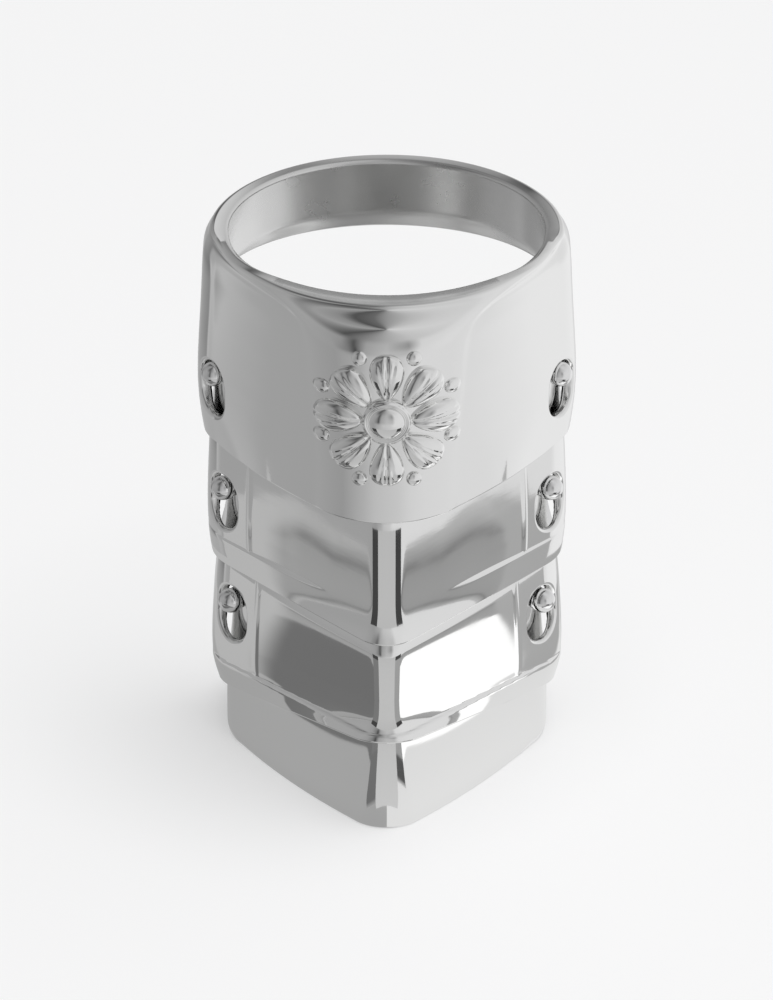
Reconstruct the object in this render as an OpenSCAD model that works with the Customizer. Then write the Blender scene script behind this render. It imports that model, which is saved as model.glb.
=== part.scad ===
// Articulated knuckle armour ring: four nested keeled silver plates joined by ball-headed pins.
// It stands on the lower edge of its smallest plate. The finger axis is vertical (+Z), the keel
// faces -Y, and the origin is on the floor at the middle of the bounding box.

/* [Finger band] */
// Inside diameter of the round finger band
finger_d = 19; // [18.4:0.1:19.2]
// Thickness of the band at its rim
rim_t = 1.08; // [0.9:0.02:1.2]
// Height of the band behind the finger
band_h = 4.5; // [4:0.1:5]
// Distance that the round bore reaches down before the plate opens out
bore_h = 3; // [2.4:0.1:3.2]

/* [Plan of the plates] */
// Distance behind the finger axis where the plates are widest
back_shift = 1.6; // [1:0.1:2]
// Rounding of the shoulders between the sides and the keeled faces
shoulder_r = 4; // [3:0.1:5]
// Distance that the shoulder rounding starts in front of the finger axis
shoulder_fwd = 0.5; // [0.2:0.1:0.9]
// Distance that the keeled faces bow outward
face_bow = 0.22; // [0.1:0.02:0.3]
// Distance that the end plate's faces bow outward
end_bow = 0.6; // [0.4:0.05:0.7]
// Distance behind the finger axis where the open sides end
side_end = 3; // [2:0.1:3.6]
// Rounding of the open sides' corners
side_r = 2.4; // [1.6:0.1:3]

/* [Top plate] */
// Height of the top plate
top_h = 13.1; // [12.4:0.1:13.8]
// Width of the top plate at its slots
top_w = 22.9; // [22.8:0.02:23.2]
// Reach of the top plate's keel in front of the finger axis
top_keel = 13.5; // [13.45:0.05:13.8]
// Softness of the top plate's keel
top_keel_r = 5.2; // [4.6:0.1:6]

/* [Middle plates] */
// Height of the second plate that shows below the top plate
second_h = 8.3; // [7.8:0.1:8.8]
// Distance that the second plate's sides lie inside those of the top plate
second_step = 0.45; // [0.43:0.01:0.5]
// Height of the third plate that shows below the second plate
third_h = 9.1; // [8.6:0.1:9.6]
// Distance that the third plate's sides lie inside those of the second plate
third_step = 0.15; // [0.12:0.01:0.2]
// Distance that the third plate's lower lip rises towards its keel
third_rise = 2.5; // [1.8:0.1:2.8]
// Reach of the middle plates' keels in front of the finger axis
mid_keel = 13.5; // [13.44:0.01:13.54]
// Radius of the narrow keel strip
keel_r = 1.3; // [1.1:0.05:1.6]
// Radius of the keel at the lower lips
lip_r = 3; // [2.4:0.1:3.6]

/* [End plate] */
// Height of the end plate that shows below the third plate at the sides
end_h = 3.8; // [3.4:0.1:4.2]
// Distance that the end plate's sides lie inside those of the third plate
end_step = 0.9; // [0.87:0.01:0.95]
// Reach of the end plate's keel in front of the finger axis
end_keel = 13.04; // [12.9:0.02:13.1]
// Height of the end plate's band behind the finger
end_band_h = 3.4; // [3:0.1:4]

/* [Walls] */
// Wall thickness of the plates
wall = 0.8; // [0.74:0.01:0.84]
// Thickness of the lower lips at their edges
lip_t = 0.22; // [0.18:0.01:0.24]

/* [Slots and pins] */
// Width of the slots
slot_w = 2.4; // [2:0.05:2.5]
// Height of the slots
slot_h = 3.4; // [3:0.1:3.6]
// Diameter of the pins
pin_d = 1.4; // [1.2:0.05:1.5]
// Distance that the pin heads stand out of the plates
pin_proud = 0.35; // [0.2:0.05:0.5]
// Gap between a pin and the upper end of its slot
pin_rest_gap = 0.08; // [0.07:0.01:0.12]
// Gap round a pin in the plate that carries it
pin_hole_gap = 0.07; // [0.06:0.01:0.09]
// Turn of the pins from straight ahead towards the side, in degrees
pin_turn = 52; // [48:1:56]
// Turn of the lowest pins from straight ahead towards the side, in degrees
end_pin_turn = 47; // [44:1:52]
// Height of the slot centres above the lower edge of the top plate
top_slot_up = 3.65; // [3.5:0.05:3.9]
// Height of the slot centres above the lower edge of the second plate
second_slot_up = 4.25; // [4:0.05:4.5]
// Height of the slot centres above the lower edge of the third plate
third_slot_up = 5.7; // [5.4:0.05:6]

/* [Rosette] */
// Diameter of the raised rosette on the top plate
rosette_d = 9.2; // [8.4:0.1:9.4]
// Number of petals
petals = 8; // [6:1:10]
// Distance of the rosette's centre below the rim
rosette_down = 6.4; // [6:0.1:6.8]
// Radius of the domed centre
eye_r = 1.5; // [1.2:0.1:1.8]

/* [Hidden] */
$fn = 48;
silver = [0.83, 0.83, 0.84];
bright = [0.9, 0.9, 0.91];

// Heights of the plates' lower edges above the floor
third_z = end_h;
second_z = third_z + third_h;
top_z = second_z + second_h;
total_h = top_z + top_h;
rim_r = finger_d / 2 + rim_t;

// Widths of the plates, each set in from the one above it
second_w = top_w - 2 * second_step;
third_w = second_w - 2 * third_step;
end_w = third_w - 2 * end_step;

// Slots, and the pins that rest just under the slots' upper ends
pin_rise = slot_h / 2 - pin_d / 2 - pin_rest_gap;
top_slot_z = top_z + top_slot_up;
second_slot_z = second_z + second_slot_up;
third_slot_z = third_z + third_slot_up;

// Height of metal above the pins, where each plate tucks up inside the one above it
pin_cover = 2.2;
second_tuck = top_slot_up + pin_rise + pin_cover;
third_tuck = second_slot_up + pin_rise + pin_cover;
end_tuck = third_slot_up + pin_rise + pin_cover;

// Side play between nested plates, and how much narrower each tucked part is than what shows
nest_gap = 0.3;
// Share of its narrowing that a plate has reached at the upper edge of the next one
narrowed = 0.35;
second_in = wall + nest_gap - second_step;
third_in = wall + nest_gap - third_step + narrowed * second_in;
end_in = wall + nest_gap - end_step + narrowed * third_in;
second_in_front = 1.6;
third_in_front = 1.9;
end_in_front = 1.6;
// Shoulder rounding of the tucked parts, and of the end plate
tuck_shoulder = shoulder_r - wall - nest_gap - 0.2;
end_shoulder = shoulder_r - 0.5;
end_tuck_shoulder = tuck_shoulder - 0.4;

// Amounts by which the lower lips curl in, at the sides and at the keel
second_curl = 0.25;
second_curl_front = 0.45;
third_curl = 0.55;
third_curl_front = 0;
end_curl = 0.22;

// Points in each stretch of half an outline
BACK_N = 12;
SHOULDER_N = 8;
FACE_N = 6;
KEEL_N = 8;
FRONT_N = 1 + SHOULDER_N + FACE_N + KEEL_N;
HALF_N = BACK_N + FRONT_N;
RING_N = 2 * HALF_N;

// An outline is [half width, back centre, back depth, keel reach, keel radius, shoulder radius,
// shoulder centre's distance forward, bow of the faces]
W = 0;
C = 1;
B = 2;
K = 3;
RK = 4;
RS = 5;
FWD = 6;
BOW = 7;

function lerp(a, b, t) = a + (b - a) * t;
// Direction out of an outline, at a turn from straight ahead towards the left side
function out_dir(a) = [-sin(a), -cos(a)];
function keel_centre(o) = [0, o[RK] - o[K]];
function shoulder_centre(o) = [o[RS] - o[W], -o[FWD]];
// Turn at which the straight face touches both the keel rounding and the shoulder rounding
function face_turn(o) = let (d = shoulder_centre(o) - keel_centre(o))
    atan2(-d[0], -d[1]) - acos(min(1, (o[RK] - o[RS]) / norm(d)));
function shoulder_point(o, a) = shoulder_centre(o) + o[RS] * out_dir(a);
function keel_point(o, a) = keel_centre(o) + o[RK] * out_dir(a);
// The faces bow outward, less so where they are short
function face_point(o, a, t) = let (p = shoulder_point(o, a), q = keel_point(o, a))
    lerp(p, q, t) + out_dir(a) * o[BOW] * pow(min(1, norm(q - p) / shoulder_r / 2), 2) * 4 * t * (1 - t);
function is_round(o) = o[RK] >= o[W];
// Turns of a round outline's points, spread as they are on the keeled outlines below it
function round_turn(i) = i <= SHOULDER_N + 1 ? lerp(90, 75, i / (SHOULDER_N + 1))
    : i <= SHOULDER_N + 1 + FACE_N ? lerp(75, 50, (i - SHOULDER_N - 1) / FACE_N)
    : lerp(50, 0, (i - SHOULDER_N - 1 - FACE_N) / KEEL_N);
function half_outline(o) = let (a = face_turn(o)) concat(
    [for (i = [0:BACK_N]) let (t = 90 * i / BACK_N) [-o[W] * sin(t), o[C] + o[B] * cos(t)]],
    is_round(o) ? [for (i = [1:FRONT_N]) keel_point(o, round_turn(i))] : concat(
        [shoulder_point(o, 90)],
        [for (i = [1:SHOULDER_N]) shoulder_point(o, lerp(90, a, i / SHOULDER_N))],
        [for (i = [1:FACE_N]) face_point(o, a, i / FACE_N)],
        [for (i = [1:KEEL_N]) keel_point(o, a * (1 - i / KEEL_N))]));
function outline(o) = let (h = half_outline(o))
    concat(h, [for (i = [HALF_N - 1:-1:1]) [-h[i][0], h[i][1]]]);
function round_outline(r) = [r, 0, r, r, r, shoulder_r, 0, 0];
function inward(o, t) = [o[W] - t, o[C], o[B] - t, o[K] - t, max(o[RK] - t, 0.2), o[RS] - t, o[FWD], o[BOW]];
// Share of the way forward from the shoulders to the keel
function ahead(y, o) = max(0, min(1, (-shoulder_fwd - y) / (o[K] - shoulder_fwd)));

// A wall all round, lofted through a closed loop of levels, [outline, height, rise at the keel]
module loft(levels) {
    n = len(levels);
    points = [for (l = levels) for (p = outline(l[0])) [p[0], p[1], l[1] + l[2] * ahead(p[1], l[0])]];
    faces = [for (i = [0:n - 1]) for (j = [0:RING_N - 1])
        let (i2 = (i + 1) % n, j2 = (j + 1) % RING_N,
            a = i * RING_N + j, b = i * RING_N + j2, c = i2 * RING_N + j2, d = i2 * RING_N + j)
        each [[a, b, c], [a, c, d]]];
    polyhedron(points = points, faces = faces, convexity = 8);
}

// Columns of the level tables. AT is a share of the height. IN is the share of the narrowing, of
// the spread on the top plate. FRONT is the same for the keel. CURL is the share of the lip's
// curl. SOFT is the share from the sharp keel to the soft one. THICK goes from lip to full wall.
AT = 0;
IN = 1;
FRONT = 2;
CURL = 3;
SOFT = 4;
THICK = 5;

// Top plate, from the rim down. AT is measured below the rim
top_rows = [
    [0.022, 0.00, 0.00, 0, 1.00, 1],
    [0.045, 0.22, 0.24, 0, 0.70, 1],
    [0.070, 0.38, 0.50, 0, 0.42, 1],
    [0.105, 0.50, 0.72, 0, 0.22, 1],
    [0.160, 0.56, 0.84, 0, 0.14, 1],
    [0.260, 0.63, 0.89, 0, 0.10, 1],
    [0.380, 0.73, 0.93, 0, 0.08, 1],
    [0.520, 0.87, 0.97, 0, 0.05, 1],
    [0.640, 0.97, 1.00, 0, 0.02, 1],
    [0.740, 1.00, 1.00, 0, 0.00, 1],
    [0.840, 0.93, 0.99, 0, 0.00, 0.9],
    [0.920, 0.79, 0.965, 0, 0.00, 0.6],
    [0.970, 0.68, 0.94, 0, 0.00, 0.3],
    [1.000, 0.61, 0.92, 0, 0.00, 0]];
// First row whose inside follows the outside, below the bore
TOP_OPEN = 6;

function top_outline(r) = let (m = min(1, r[FRONT])) [
    lerp(rim_r, top_w / 2, r[IN]), back_shift * m, rim_r - back_shift * m,
    lerp(rim_r, top_keel, r[FRONT]), lerp(top_keel_r, rim_r, r[SOFT]), shoulder_r, shoulder_fwd * m,
    face_bow];
function wall_at(r) = lerp(lip_t, wall, r[THICK]);

module top_shell() {
    n = len(top_rows);
    bore = round_outline(finger_d / 2 - 0.2);
    rim = round_outline(rim_r);
    loft(concat(
        [[bore, total_h, 0], [inward(rim, 0.4), total_h, 0], [inward(rim, 0.12), total_h - 0.1, 0]],
        [for (r = top_rows) [top_outline(r), total_h - r[AT] * top_h, 0]],
        [for (i = [n - 1:-1:TOP_OPEN]) let (r = top_rows[i])
            [inward(top_outline(r), wall_at(r)), total_h - r[AT] * top_h, 0]],
        [[bore, total_h - bore_h, 0]]));
}

// Lower plates, from the top down. AT runs from 2 to 1 over the tucked part and from 1 to 0 over
// the part that shows
bell_rows = [
    [2.00, 1.00, 1.00, 0.00, 0, 1],
    [1.60, 0.97, 0.96, 0.00, 0, 1],
    [1.25, 0.82, 0.78, 0.00, 0, 1],
    [1.00, 0.50, 0.42, 0.00, 0, 1],
    [0.88, 0.35, 0.26, 0.00, 0, 1],
    [0.76, 0.17, 0.12, 0.00, 0, 1],
    [0.62, 0.04, 0.03, 0.00, 0, 1],
    [0.46, 0.00, 0.00, 0.02, 0, 1],
    [0.32, 0.00, 0.00, 0.10, 0.05, 0.85],
    [0.20, 0.00, 0.00, 0.28, 0.3, 0.55],
    [0.10, 0.00, 0.00, 0.55, 0.65, 0.3],
    [0.03, 0.00, 0.00, 0.84, 0.92, 0.1],
    [0.00, 0.00, 0.00, 1.00, 1, 0]];

// End plate: straight, with a softly rounded lower edge that it stands on
end_rows = [
    [2.00, 1.00, 1.00, 0, 0, 1],
    [1.70, 0.85, 0.85, 0, 0, 1],
    [1.45, 0.60, 0.50, 0, 0, 1],
    [1.30, 0.45, 0.20, 0, 0, 1],
    [1.10, 0.12, 0.03, 0, 0, 1],
    [1.00, 0.00, 0.00, 0, 0, 1],
    [0.50, 0.00, 0.00, 0, 0.4, 1],
    [0.20, 0.00, 0.00, 0, 0.8, 1],
    [0.10, 0.00, 0.00, 0.06, 0.9, 1],
    [0.04, 0.00, 0.00, 0.32, 0.95, 0.9],
    [0.00, 0.00, 0.00, 1, 1, 0.6]];

// A lower plate is [width, keel reach, narrowing and keel narrowing of the tucked part,
// curl and keel curl of the lip, soft keel radius, widest point behind the axis,
// bow of the faces and the same tucked, shoulder radius and the same tucked]
function bell_outline(r, p) = [
    p[0] / 2 - p[2] * r[IN] - p[4] * r[CURL], p[7], p[0] / 2 - p[7] - p[4] * r[CURL],
    p[1] - p[3] * r[FRONT] - p[5] * r[CURL], lerp(keel_r, p[6], r[SOFT]),
    lerp(p[10], p[11], r[IN]), shoulder_fwd, lerp(p[8], p[9], r[IN])];
second_plan = [second_w, mid_keel, second_in, second_in_front, second_curl, second_curl_front,
    lip_r, side_end, face_bow, face_bow, shoulder_r, tuck_shoulder];
third_plan = [third_w, mid_keel, third_in, third_in_front, third_curl, third_curl_front,
    lip_r, side_end, face_bow, face_bow, shoulder_r, tuck_shoulder];
end_plan = [end_w, end_keel, end_in, end_in_front, end_curl, end_curl,
    lip_r - 0.4, back_shift, end_bow, 0, end_shoulder, end_tuck_shoulder];

module bell_shell(rows, plan, z, shown, tuck, rise) {
    n = len(rows);
    function height(r) = z + shown * min(r[AT], 1) + tuck * max(r[AT] - 1, 0);
    function lift(r) = rise * max(0, 1 - r[AT]);
    loft(concat(
        [for (r = rows) [bell_outline(r, plan), height(r), lift(r)]],
        [for (i = [n - 1:-1:0]) let (r = rows[i])
            [inward(bell_outline(r, plan), wall_at(r)), height(r), lift(r)]]));
}

// Cuts the open back of a plate. Seen from the side, the cut starts at side_end and keeps bands
// below low and above high. Its corners are rounded
module open_back(low, high, foot, head) {
    far = top_w;
    function corner(y, z, r, a) = [for (i = [0:6]) [y + r * cos(a + 15 * i), z + r * sin(a + 15 * i)]];
    low_corner = foot ? corner(side_end + side_r, low + side_r, side_r, 180)
        : [for (p = [6:-1:0]) corner(side_end - side_r, low + side_r, side_r, 270)[p]];
    high_corner = head ? corner(side_end + side_r, high - side_r, side_r, 90)
        : [for (p = [6:-1:0]) corner(side_end - side_r, high - side_r, side_r, 0)[p]];
    edge = concat(
        foot ? [[far, low]] : [[far, low - wall], [side_end - side_r, low - wall]],
        [for (i = [0:6]) foot ? low_corner[6 - i] : low_corner[6 - i]],
        [for (i = [0:6]) head ? high_corner[6 - i] : high_corner[6 - i]],
        head ? [[far, high]] : [[side_end - side_r, high + wall], [far, high + wall]]);
    rotate([90, 0, 90]) linear_extrude(height = 2 * top_w, center = true) polygon(edge);
}

// Children lie along a line straight out of the plate, on the left side and on the right
module out_of(p, z, turn, left = true, right = true) {
    if (left) translate([p[0], p[1], z]) rotate([90, 0, -turn]) children();
    if (right) mirror([1, 0, 0]) translate([p[0], p[1], z]) rotate([90, 0, -turn]) children();
}

module slot_shape() {
    linear_extrude(height = 4 * wall, center = true) {
        square([slot_w, slot_h - slot_w], center = true);
        for (s = [-1, 1]) translate([0, s * (slot_h - slot_w) / 2]) circle(d = slot_w);
    }
}

// Where each pair of pins leaves the plate that it rides in
top_slot_p = shoulder_point(top_outline(top_rows[9]), pin_turn);
second_slot_p = shoulder_point(bell_outline(bell_rows[7], second_plan), pin_turn);
third_slot_p = shoulder_point(bell_outline(bell_rows[7], third_plan), end_pin_turn);
// Depth from there to the inside of the plate that carries the pins
function carrier_depth(p, turn, o) = (p - shoulder_point(o, turn)) * out_dir(turn) + wall;
second_pin_depth = carrier_depth(top_slot_p, pin_turn, bell_outline(bell_rows[1], second_plan));
third_pin_depth = carrier_depth(second_slot_p, pin_turn, bell_outline(bell_rows[1], third_plan));
end_pin_depth = carrier_depth(third_slot_p, end_pin_turn, bell_outline(end_rows[1], end_plan));

module pin_hole(p, z, turn, depth) {
    out_of(p, z, turn) translate([0, 0, -depth - wall])
        cylinder(d = pin_d + 2 * pin_hole_gap, h = depth + 2 * wall);
}

module pin(p, z, turn, depth, left) {
    out_of(p, z, turn, left, !left) {
        translate([0, 0, 0.1 - depth]) cylinder(d = pin_d, h = depth - 0.1 + pin_proud - pin_d / 2);
        translate([0, 0, pin_proud - pin_d / 2]) sphere(d = pin_d);
    }
}

// Outline behind the rosette, the point of it at a distance to the side, and its direction out
rosette_outline = top_outline([0, 0.7, 0.93, 0, 0.08, 1]);
eye_sink = eye_r * 0.4;
// Distance from the finger axis to the middle of the part, front to back
middle = (rosette_outline[K] + eye_r - eye_sink - rim_r) / 2;
module in_frame() { translate([0, middle, 0]) children(); }
function front_turn(x) =
    let (a = face_turn(rosette_outline)) min(a, asin(min(1, abs(x) / rosette_outline[RK])));
function front_y(x) = let (o = rosette_outline, a = face_turn(o), q = keel_point(o, a))
    abs(x) < -q[0] ? keel_point(o, front_turn(x))[1] : q[1] + (abs(x) + q[0]) * tan(a);

// A ball sunk into the front of the top plate, at a distance and an angle from the rosette's centre
module bud(d, a, r, sink) {
    x = d * sin(a);
    t = front_turn(x) * (x < 0 ? 1 : -1);
    translate([x + sink * sin(t), front_y(x) + sink * cos(t), total_h - rosette_down + d * cos(a)])
        sphere(r = r);
}

module rosette() {
    petal_r = rosette_d * 0.13;
    bead_r = rosette_d * 0.05;
    difference() {
        union() {
            bud(0, 0, eye_r, eye_sink);
            for (i = [0:petals - 1]) bud(rosette_d * 0.3, 360 * i / petals, petal_r, petal_r * 0.3);
            for (i = [0:petals - 1])
                bud(rosette_d / 2 - bead_r, 360 * (i + 0.5) / petals, bead_r, bead_r * 0.3);
        }
        translate([0, 0, top_z]) linear_extrude(height = top_h)
            polygon(outline(inward(rosette_outline, wall / 2)));
    }
}

module top_plate() {
    color(silver) in_frame() difference() {
        union() {
            top_shell();
            rosette();
        }
        translate([0, 0, total_h - bore_h - 0.2]) cylinder(d = finger_d, h = bore_h + 1, $fn = 96);
        open_back(top_z, total_h - band_h, false, true);
        out_of(top_slot_p, top_slot_z, pin_turn) slot_shape();
    }
}

module second_plate() {
    color(silver) in_frame() difference() {
        bell_shell(bell_rows, second_plan, second_z, second_h, second_tuck, 0);
        open_back(second_z, top_z + second_tuck, false, false);
        out_of(second_slot_p, second_slot_z, pin_turn) slot_shape();
        pin_hole(top_slot_p, top_slot_z + pin_rise, pin_turn, second_pin_depth);
    }
}

module third_plate() {
    color(silver) in_frame() difference() {
        bell_shell(bell_rows, third_plan, third_z, third_h, third_tuck, third_rise);
        open_back(third_z, second_z + third_tuck, false, false);
        out_of(third_slot_p, third_slot_z, end_pin_turn) slot_shape();
        pin_hole(second_slot_p, second_slot_z + pin_rise, pin_turn, third_pin_depth);
    }
}

module end_plate() {
    color(silver) in_frame() difference() {
        bell_shell(end_rows, end_plan, 0, end_h, end_tuck, 0);
        open_back(end_band_h, third_z + end_tuck, true, false);
        pin_hole(third_slot_p, third_slot_z + pin_rise, end_pin_turn, end_pin_depth);
    }
}

module pin_at(p, z, turn, depth, left) {
    color(bright) in_frame() pin(p, z + pin_rise, turn, depth, left);
}
module second_pin(left) { pin_at(top_slot_p, top_slot_z, pin_turn, second_pin_depth, left); }
module third_pin(left) { pin_at(second_slot_p, second_slot_z, pin_turn, third_pin_depth, left); }
module end_pin(left) { pin_at(third_slot_p, third_slot_z, end_pin_turn, end_pin_depth, left); }
module second_pin_left() { second_pin(true); }
module second_pin_right() { second_pin(false); }
module third_pin_left() { third_pin(true); }
module third_pin_right() { third_pin(false); }
module end_pin_left() { end_pin(true); }
module end_pin_right() { end_pin(false); }

top_plate();
second_plate();
third_plate();
end_plate();
second_pin_left();
second_pin_right();
third_pin_left();
third_pin_right();
end_pin_left();
end_pin_right();
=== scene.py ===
"""Looks of an articulated knuckle armour ring: four nested keeled silver plates on ball-headed pins.

Lengths are worked out in millimetres and turned into metres when a mesh is made. The finger axis is
vertical (+Z), the keel faces -Y, and the origin is on the floor in the middle of the part.
"""

import logging
import math
from dataclasses import dataclass, field
from enum import Enum
from typing import Callable, Optional, Sequence

import bmesh
import bpy
import numpy as np
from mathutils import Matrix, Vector, geometry

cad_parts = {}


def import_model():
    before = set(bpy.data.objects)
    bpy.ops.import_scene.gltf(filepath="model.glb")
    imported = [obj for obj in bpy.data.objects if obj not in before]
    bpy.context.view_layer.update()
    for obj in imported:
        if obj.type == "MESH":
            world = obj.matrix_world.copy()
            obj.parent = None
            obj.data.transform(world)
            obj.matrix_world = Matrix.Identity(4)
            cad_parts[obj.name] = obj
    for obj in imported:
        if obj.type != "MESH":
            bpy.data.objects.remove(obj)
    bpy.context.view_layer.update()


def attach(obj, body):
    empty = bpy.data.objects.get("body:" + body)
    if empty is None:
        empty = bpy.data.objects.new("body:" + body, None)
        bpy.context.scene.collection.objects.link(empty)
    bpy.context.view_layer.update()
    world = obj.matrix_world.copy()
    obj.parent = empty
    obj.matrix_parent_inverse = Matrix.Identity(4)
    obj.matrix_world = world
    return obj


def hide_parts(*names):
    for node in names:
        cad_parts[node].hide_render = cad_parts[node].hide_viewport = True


LOG = logging.getLogger("ring")
MM = 0.001
Array = np.ndarray


class Side(Enum):
    """The two sides of the ring, as seen from the camera."""

    LEFT = -1.0
    RIGHT = 1.0


# Small helpers


def lerp(a: Array | float, b: Array | float, t: Array | float) -> Array | float:
    """Blend from a to b by the share t."""
    return a + (b - a) * t


def smooth(t: Array | float) -> Array | float:
    """Ease from 0 to 1 with level ends, holding outside that range."""
    t = np.clip(t, 0.0, 1.0)
    return t * t * (3.0 - 2.0 * t)


def unit(v: Array) -> Array:
    """Scale vectors along the last axis to length one."""
    return v / np.maximum(np.linalg.norm(v, axis=-1, keepdims=True), 1e-12)


def out_dir(turn: Array | float) -> Array:
    """Direction out of a plan, at a turn in radians from straight ahead towards the left."""
    return np.stack([-np.sin(turn), -np.cos(turn)], -1)


def blur(values: Array, spread: float) -> Array:
    """Soften values along their first axis.

    Args:
        values: Samples at even steps.
        spread: Standard deviation of the blur, in steps.

    Returns:
        The softened samples, as many as before.
    """
    reach = int(math.ceil(3.0 * spread))
    if reach < 1:
        return values
    weights = np.exp(-0.5 * (np.arange(-reach, reach + 1) / spread) ** 2)
    weights /= weights.sum()
    before = 2.0 * values[0] - values[reach:0:-1]
    after = 2.0 * values[-1] - values[-2 : -reach - 2 : -1]
    padded = np.concatenate([before, values, after])
    out = np.zeros_like(values)
    for k, weight in enumerate(weights):
        out += weight * padded[k : k + len(values)]
    return out


# Nodes


@dataclass
class Nodes:
    """Adds nodes to a tree and joins their sockets.

    Attributes:
        tree: The tree that the nodes go into.
    """

    tree: bpy.types.NodeTree

    def feed(self, node: bpy.types.Node, key: str | int, value: object) -> None:
        """Set an input to a value, or link it from a socket."""
        if isinstance(value, bpy.types.NodeSocket):
            self.tree.links.new(value, node.inputs[key])
        else:
            node.inputs[key].default_value = value

    def add(self, kind: str, inputs: Optional[dict] = None, **settings: str) -> bpy.types.Node:
        """Add a node.

        Args:
            kind: Type of the node.
            inputs: Values of its inputs, or the sockets that they are linked from.
            settings: Its own properties, which are set first.

        Returns:
            The node.
        """
        node = self.tree.nodes.new(kind)
        for name, value in settings.items():
            setattr(node, name, value)
        for key, value in (inputs or {}).items():
            self.feed(node, key, value)
        return node

    def math(self, kind: str, *values: float | bpy.types.NodeSocket) -> bpy.types.NodeSocket:
        """Add a math node and give its result."""
        return self.add("ShaderNodeMath", dict(enumerate(values)), operation=kind).outputs[0]

    def ramp(self, share: bpy.types.NodeSocket, stops: Sequence[tuple]) -> bpy.types.NodeSocket:
        """Add a colour ramp and give its colour.

        Args:
            share: The socket that it reads.
            stops: Pairs of a place from 0 to 1 and a colour.

        Returns:
            The colour's socket.
        """
        node = self.add("ShaderNodeValToRGB", {"Fac": share})
        elements = node.color_ramp.elements
        while len(elements) < len(stops):
            elements.new(0.5)
        for element, (place, tone) in zip(elements, stops):
            element.position = place
            element.color = (*tone, 1.0)
        return node.outputs["Color"]

    def spread(
        self, value: bpy.types.NodeSocket, start: float, end: float, **settings: str
    ) -> bpy.types.Node:
        """Add a node that turns the range from start to end into 0 to 1."""
        ends = {"Value": value, "From Min": start, "From Max": end}
        return self.add("ShaderNodeMapRange", ends, **settings)


def new_material(name: str) -> tuple:
    """Make a material, and give it with its nodes and its shader."""
    material = bpy.data.materials.new(name)
    material.use_nodes = True
    return material, Nodes(material.node_tree), material.node_tree.nodes["Principled BSDF"]


# Plan of a plate


@dataclass
class Plan:
    """Closed outline of a plate at one height, symmetric about the keel.

    Attributes:
        half: Half width.
        centre: Distance behind the finger axis where the outline is widest.
        back: Depth of the back ellipse.
        keel: Reach of the keel in front of the finger axis.
        keel_r: Radius of the keel.
        shoulder_r: Radius of the shoulders.
        forward: Distance that the shoulder centres lie in front of the axis.
        bow: Outward bow of the keeled faces.
    """

    half: float
    centre: float
    back: float
    keel: float
    keel_r: float
    shoulder_r: float
    forward: float
    bow: float

    @classmethod
    def from_row(cls, row: Array) -> "Plan":
        """Read a plan from a row of eight numbers in the order of the fields."""
        return cls(*[float(v) for v in row])

    def shoulder_centre(self) -> Array:
        """Centre of the left shoulder's rounding."""
        return np.array([self.shoulder_r - self.half, -self.forward])

    def keel_centre(self) -> Array:
        """Centre of the keel's rounding."""
        return np.array([0.0, self.keel_r - self.keel])

    def face_turn(self) -> float:
        """Turn at which the face touches both the keel rounding and the shoulder rounding."""
        d = self.shoulder_centre() - self.keel_centre()
        reach = min(1.0, (self.keel_r - self.shoulder_r) / float(np.hypot(*d)))
        return math.atan2(-d[0], -d[1]) - math.acos(reach)

    def shoulder_point(self, turn: float) -> Array:
        """Point of the left shoulder at a turn from straight ahead."""
        return self.shoulder_centre() + self.shoulder_r * out_dir(turn)

    def front(self, steps: int = 90) -> Array:
        """Left half of the front, from the keel to the widest point.

        Args:
            steps: Points in each stretch.

        Returns:
            Points of the outline, one pair of x and y to a row.
        """
        turn = self.face_turn()
        t = np.linspace(0.0, 1.0, steps)
        keel = self.keel_centre() + self.keel_r * out_dir(t * turn)
        q, p = keel[-1], self.shoulder_point(turn)
        length = float(np.hypot(*(q - p)))
        bow = self.bow * min(1.0, length / SHOULDER_R / 2.0) ** 2
        face = q + (p - q) * t[:, None] + out_dir(turn) * (bow * 4.0 * t * (1.0 - t))[:, None]
        arc = self.shoulder_centre() + self.shoulder_r * out_dir(lerp(turn, math.pi / 2, t))
        side = np.stack([np.full(steps, -self.half), lerp(-self.forward, self.centre, t)], -1)
        return np.concatenate([keel, face[1:], arc[1:], side[1:]])

    def rear(self, steps: int = 240) -> Array:
        """Left half of the back, from the widest point to the middle of the back."""
        t = np.linspace(0.0, math.pi / 2, steps)
        return np.stack([-self.half * np.cos(t), self.centre + self.back * np.sin(t)], -1)


def even_steps(points: Array, count: int) -> Array:
    """Spread a polyline's points evenly along its length."""
    steps = np.hypot(*np.diff(points, axis=0).T)
    at = np.concatenate([[0.0], np.cumsum(steps)])
    want = np.linspace(0.0, at[-1], count)
    return np.stack([np.interp(want, at, points[:, k]) for k in (0, 1)], -1)


# Sizes shared by the plates: the plan's shoulders, faces, keel and back
SHOULDER_R = 4.0
SHOULDER_FWD = 0.5
FACE_BOW = 0.22
KEEL_R = 1.3
BACK_SHIFT = 1.6

# Where the side walls end towards the back, and the roundings of their corners
SIDE_END = 3.0
SIDE_R = 2.4
LOW_R = 4.4

# The finger's bore and the band round it, whose middle lies behind the part's
FINGER_R = 9.5
RIM_R = 10.58
MIDDLE = 1.8061

# Walls, the gap between nested plates, and the share of a plate's narrowing that the next one takes up
WALL = 0.8
LIP_T = 0.22
PLATE_GAP = 0.3
TUCK_SHARE = 0.35

# Lower edges of the plates, the rim, and how far the slots' middles stand over those edges
END_Z, THIRD_Z, SECOND_Z, TOP_Z, TOTAL_H = 0.0, 3.8, 12.9, 21.2, 34.3
SLOT_UP = (3.65, 4.25, 5.7)
SLOT_Z = (TOP_Z + SLOT_UP[0], SECOND_Z + SLOT_UP[1], THIRD_Z + SLOT_UP[2])

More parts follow.
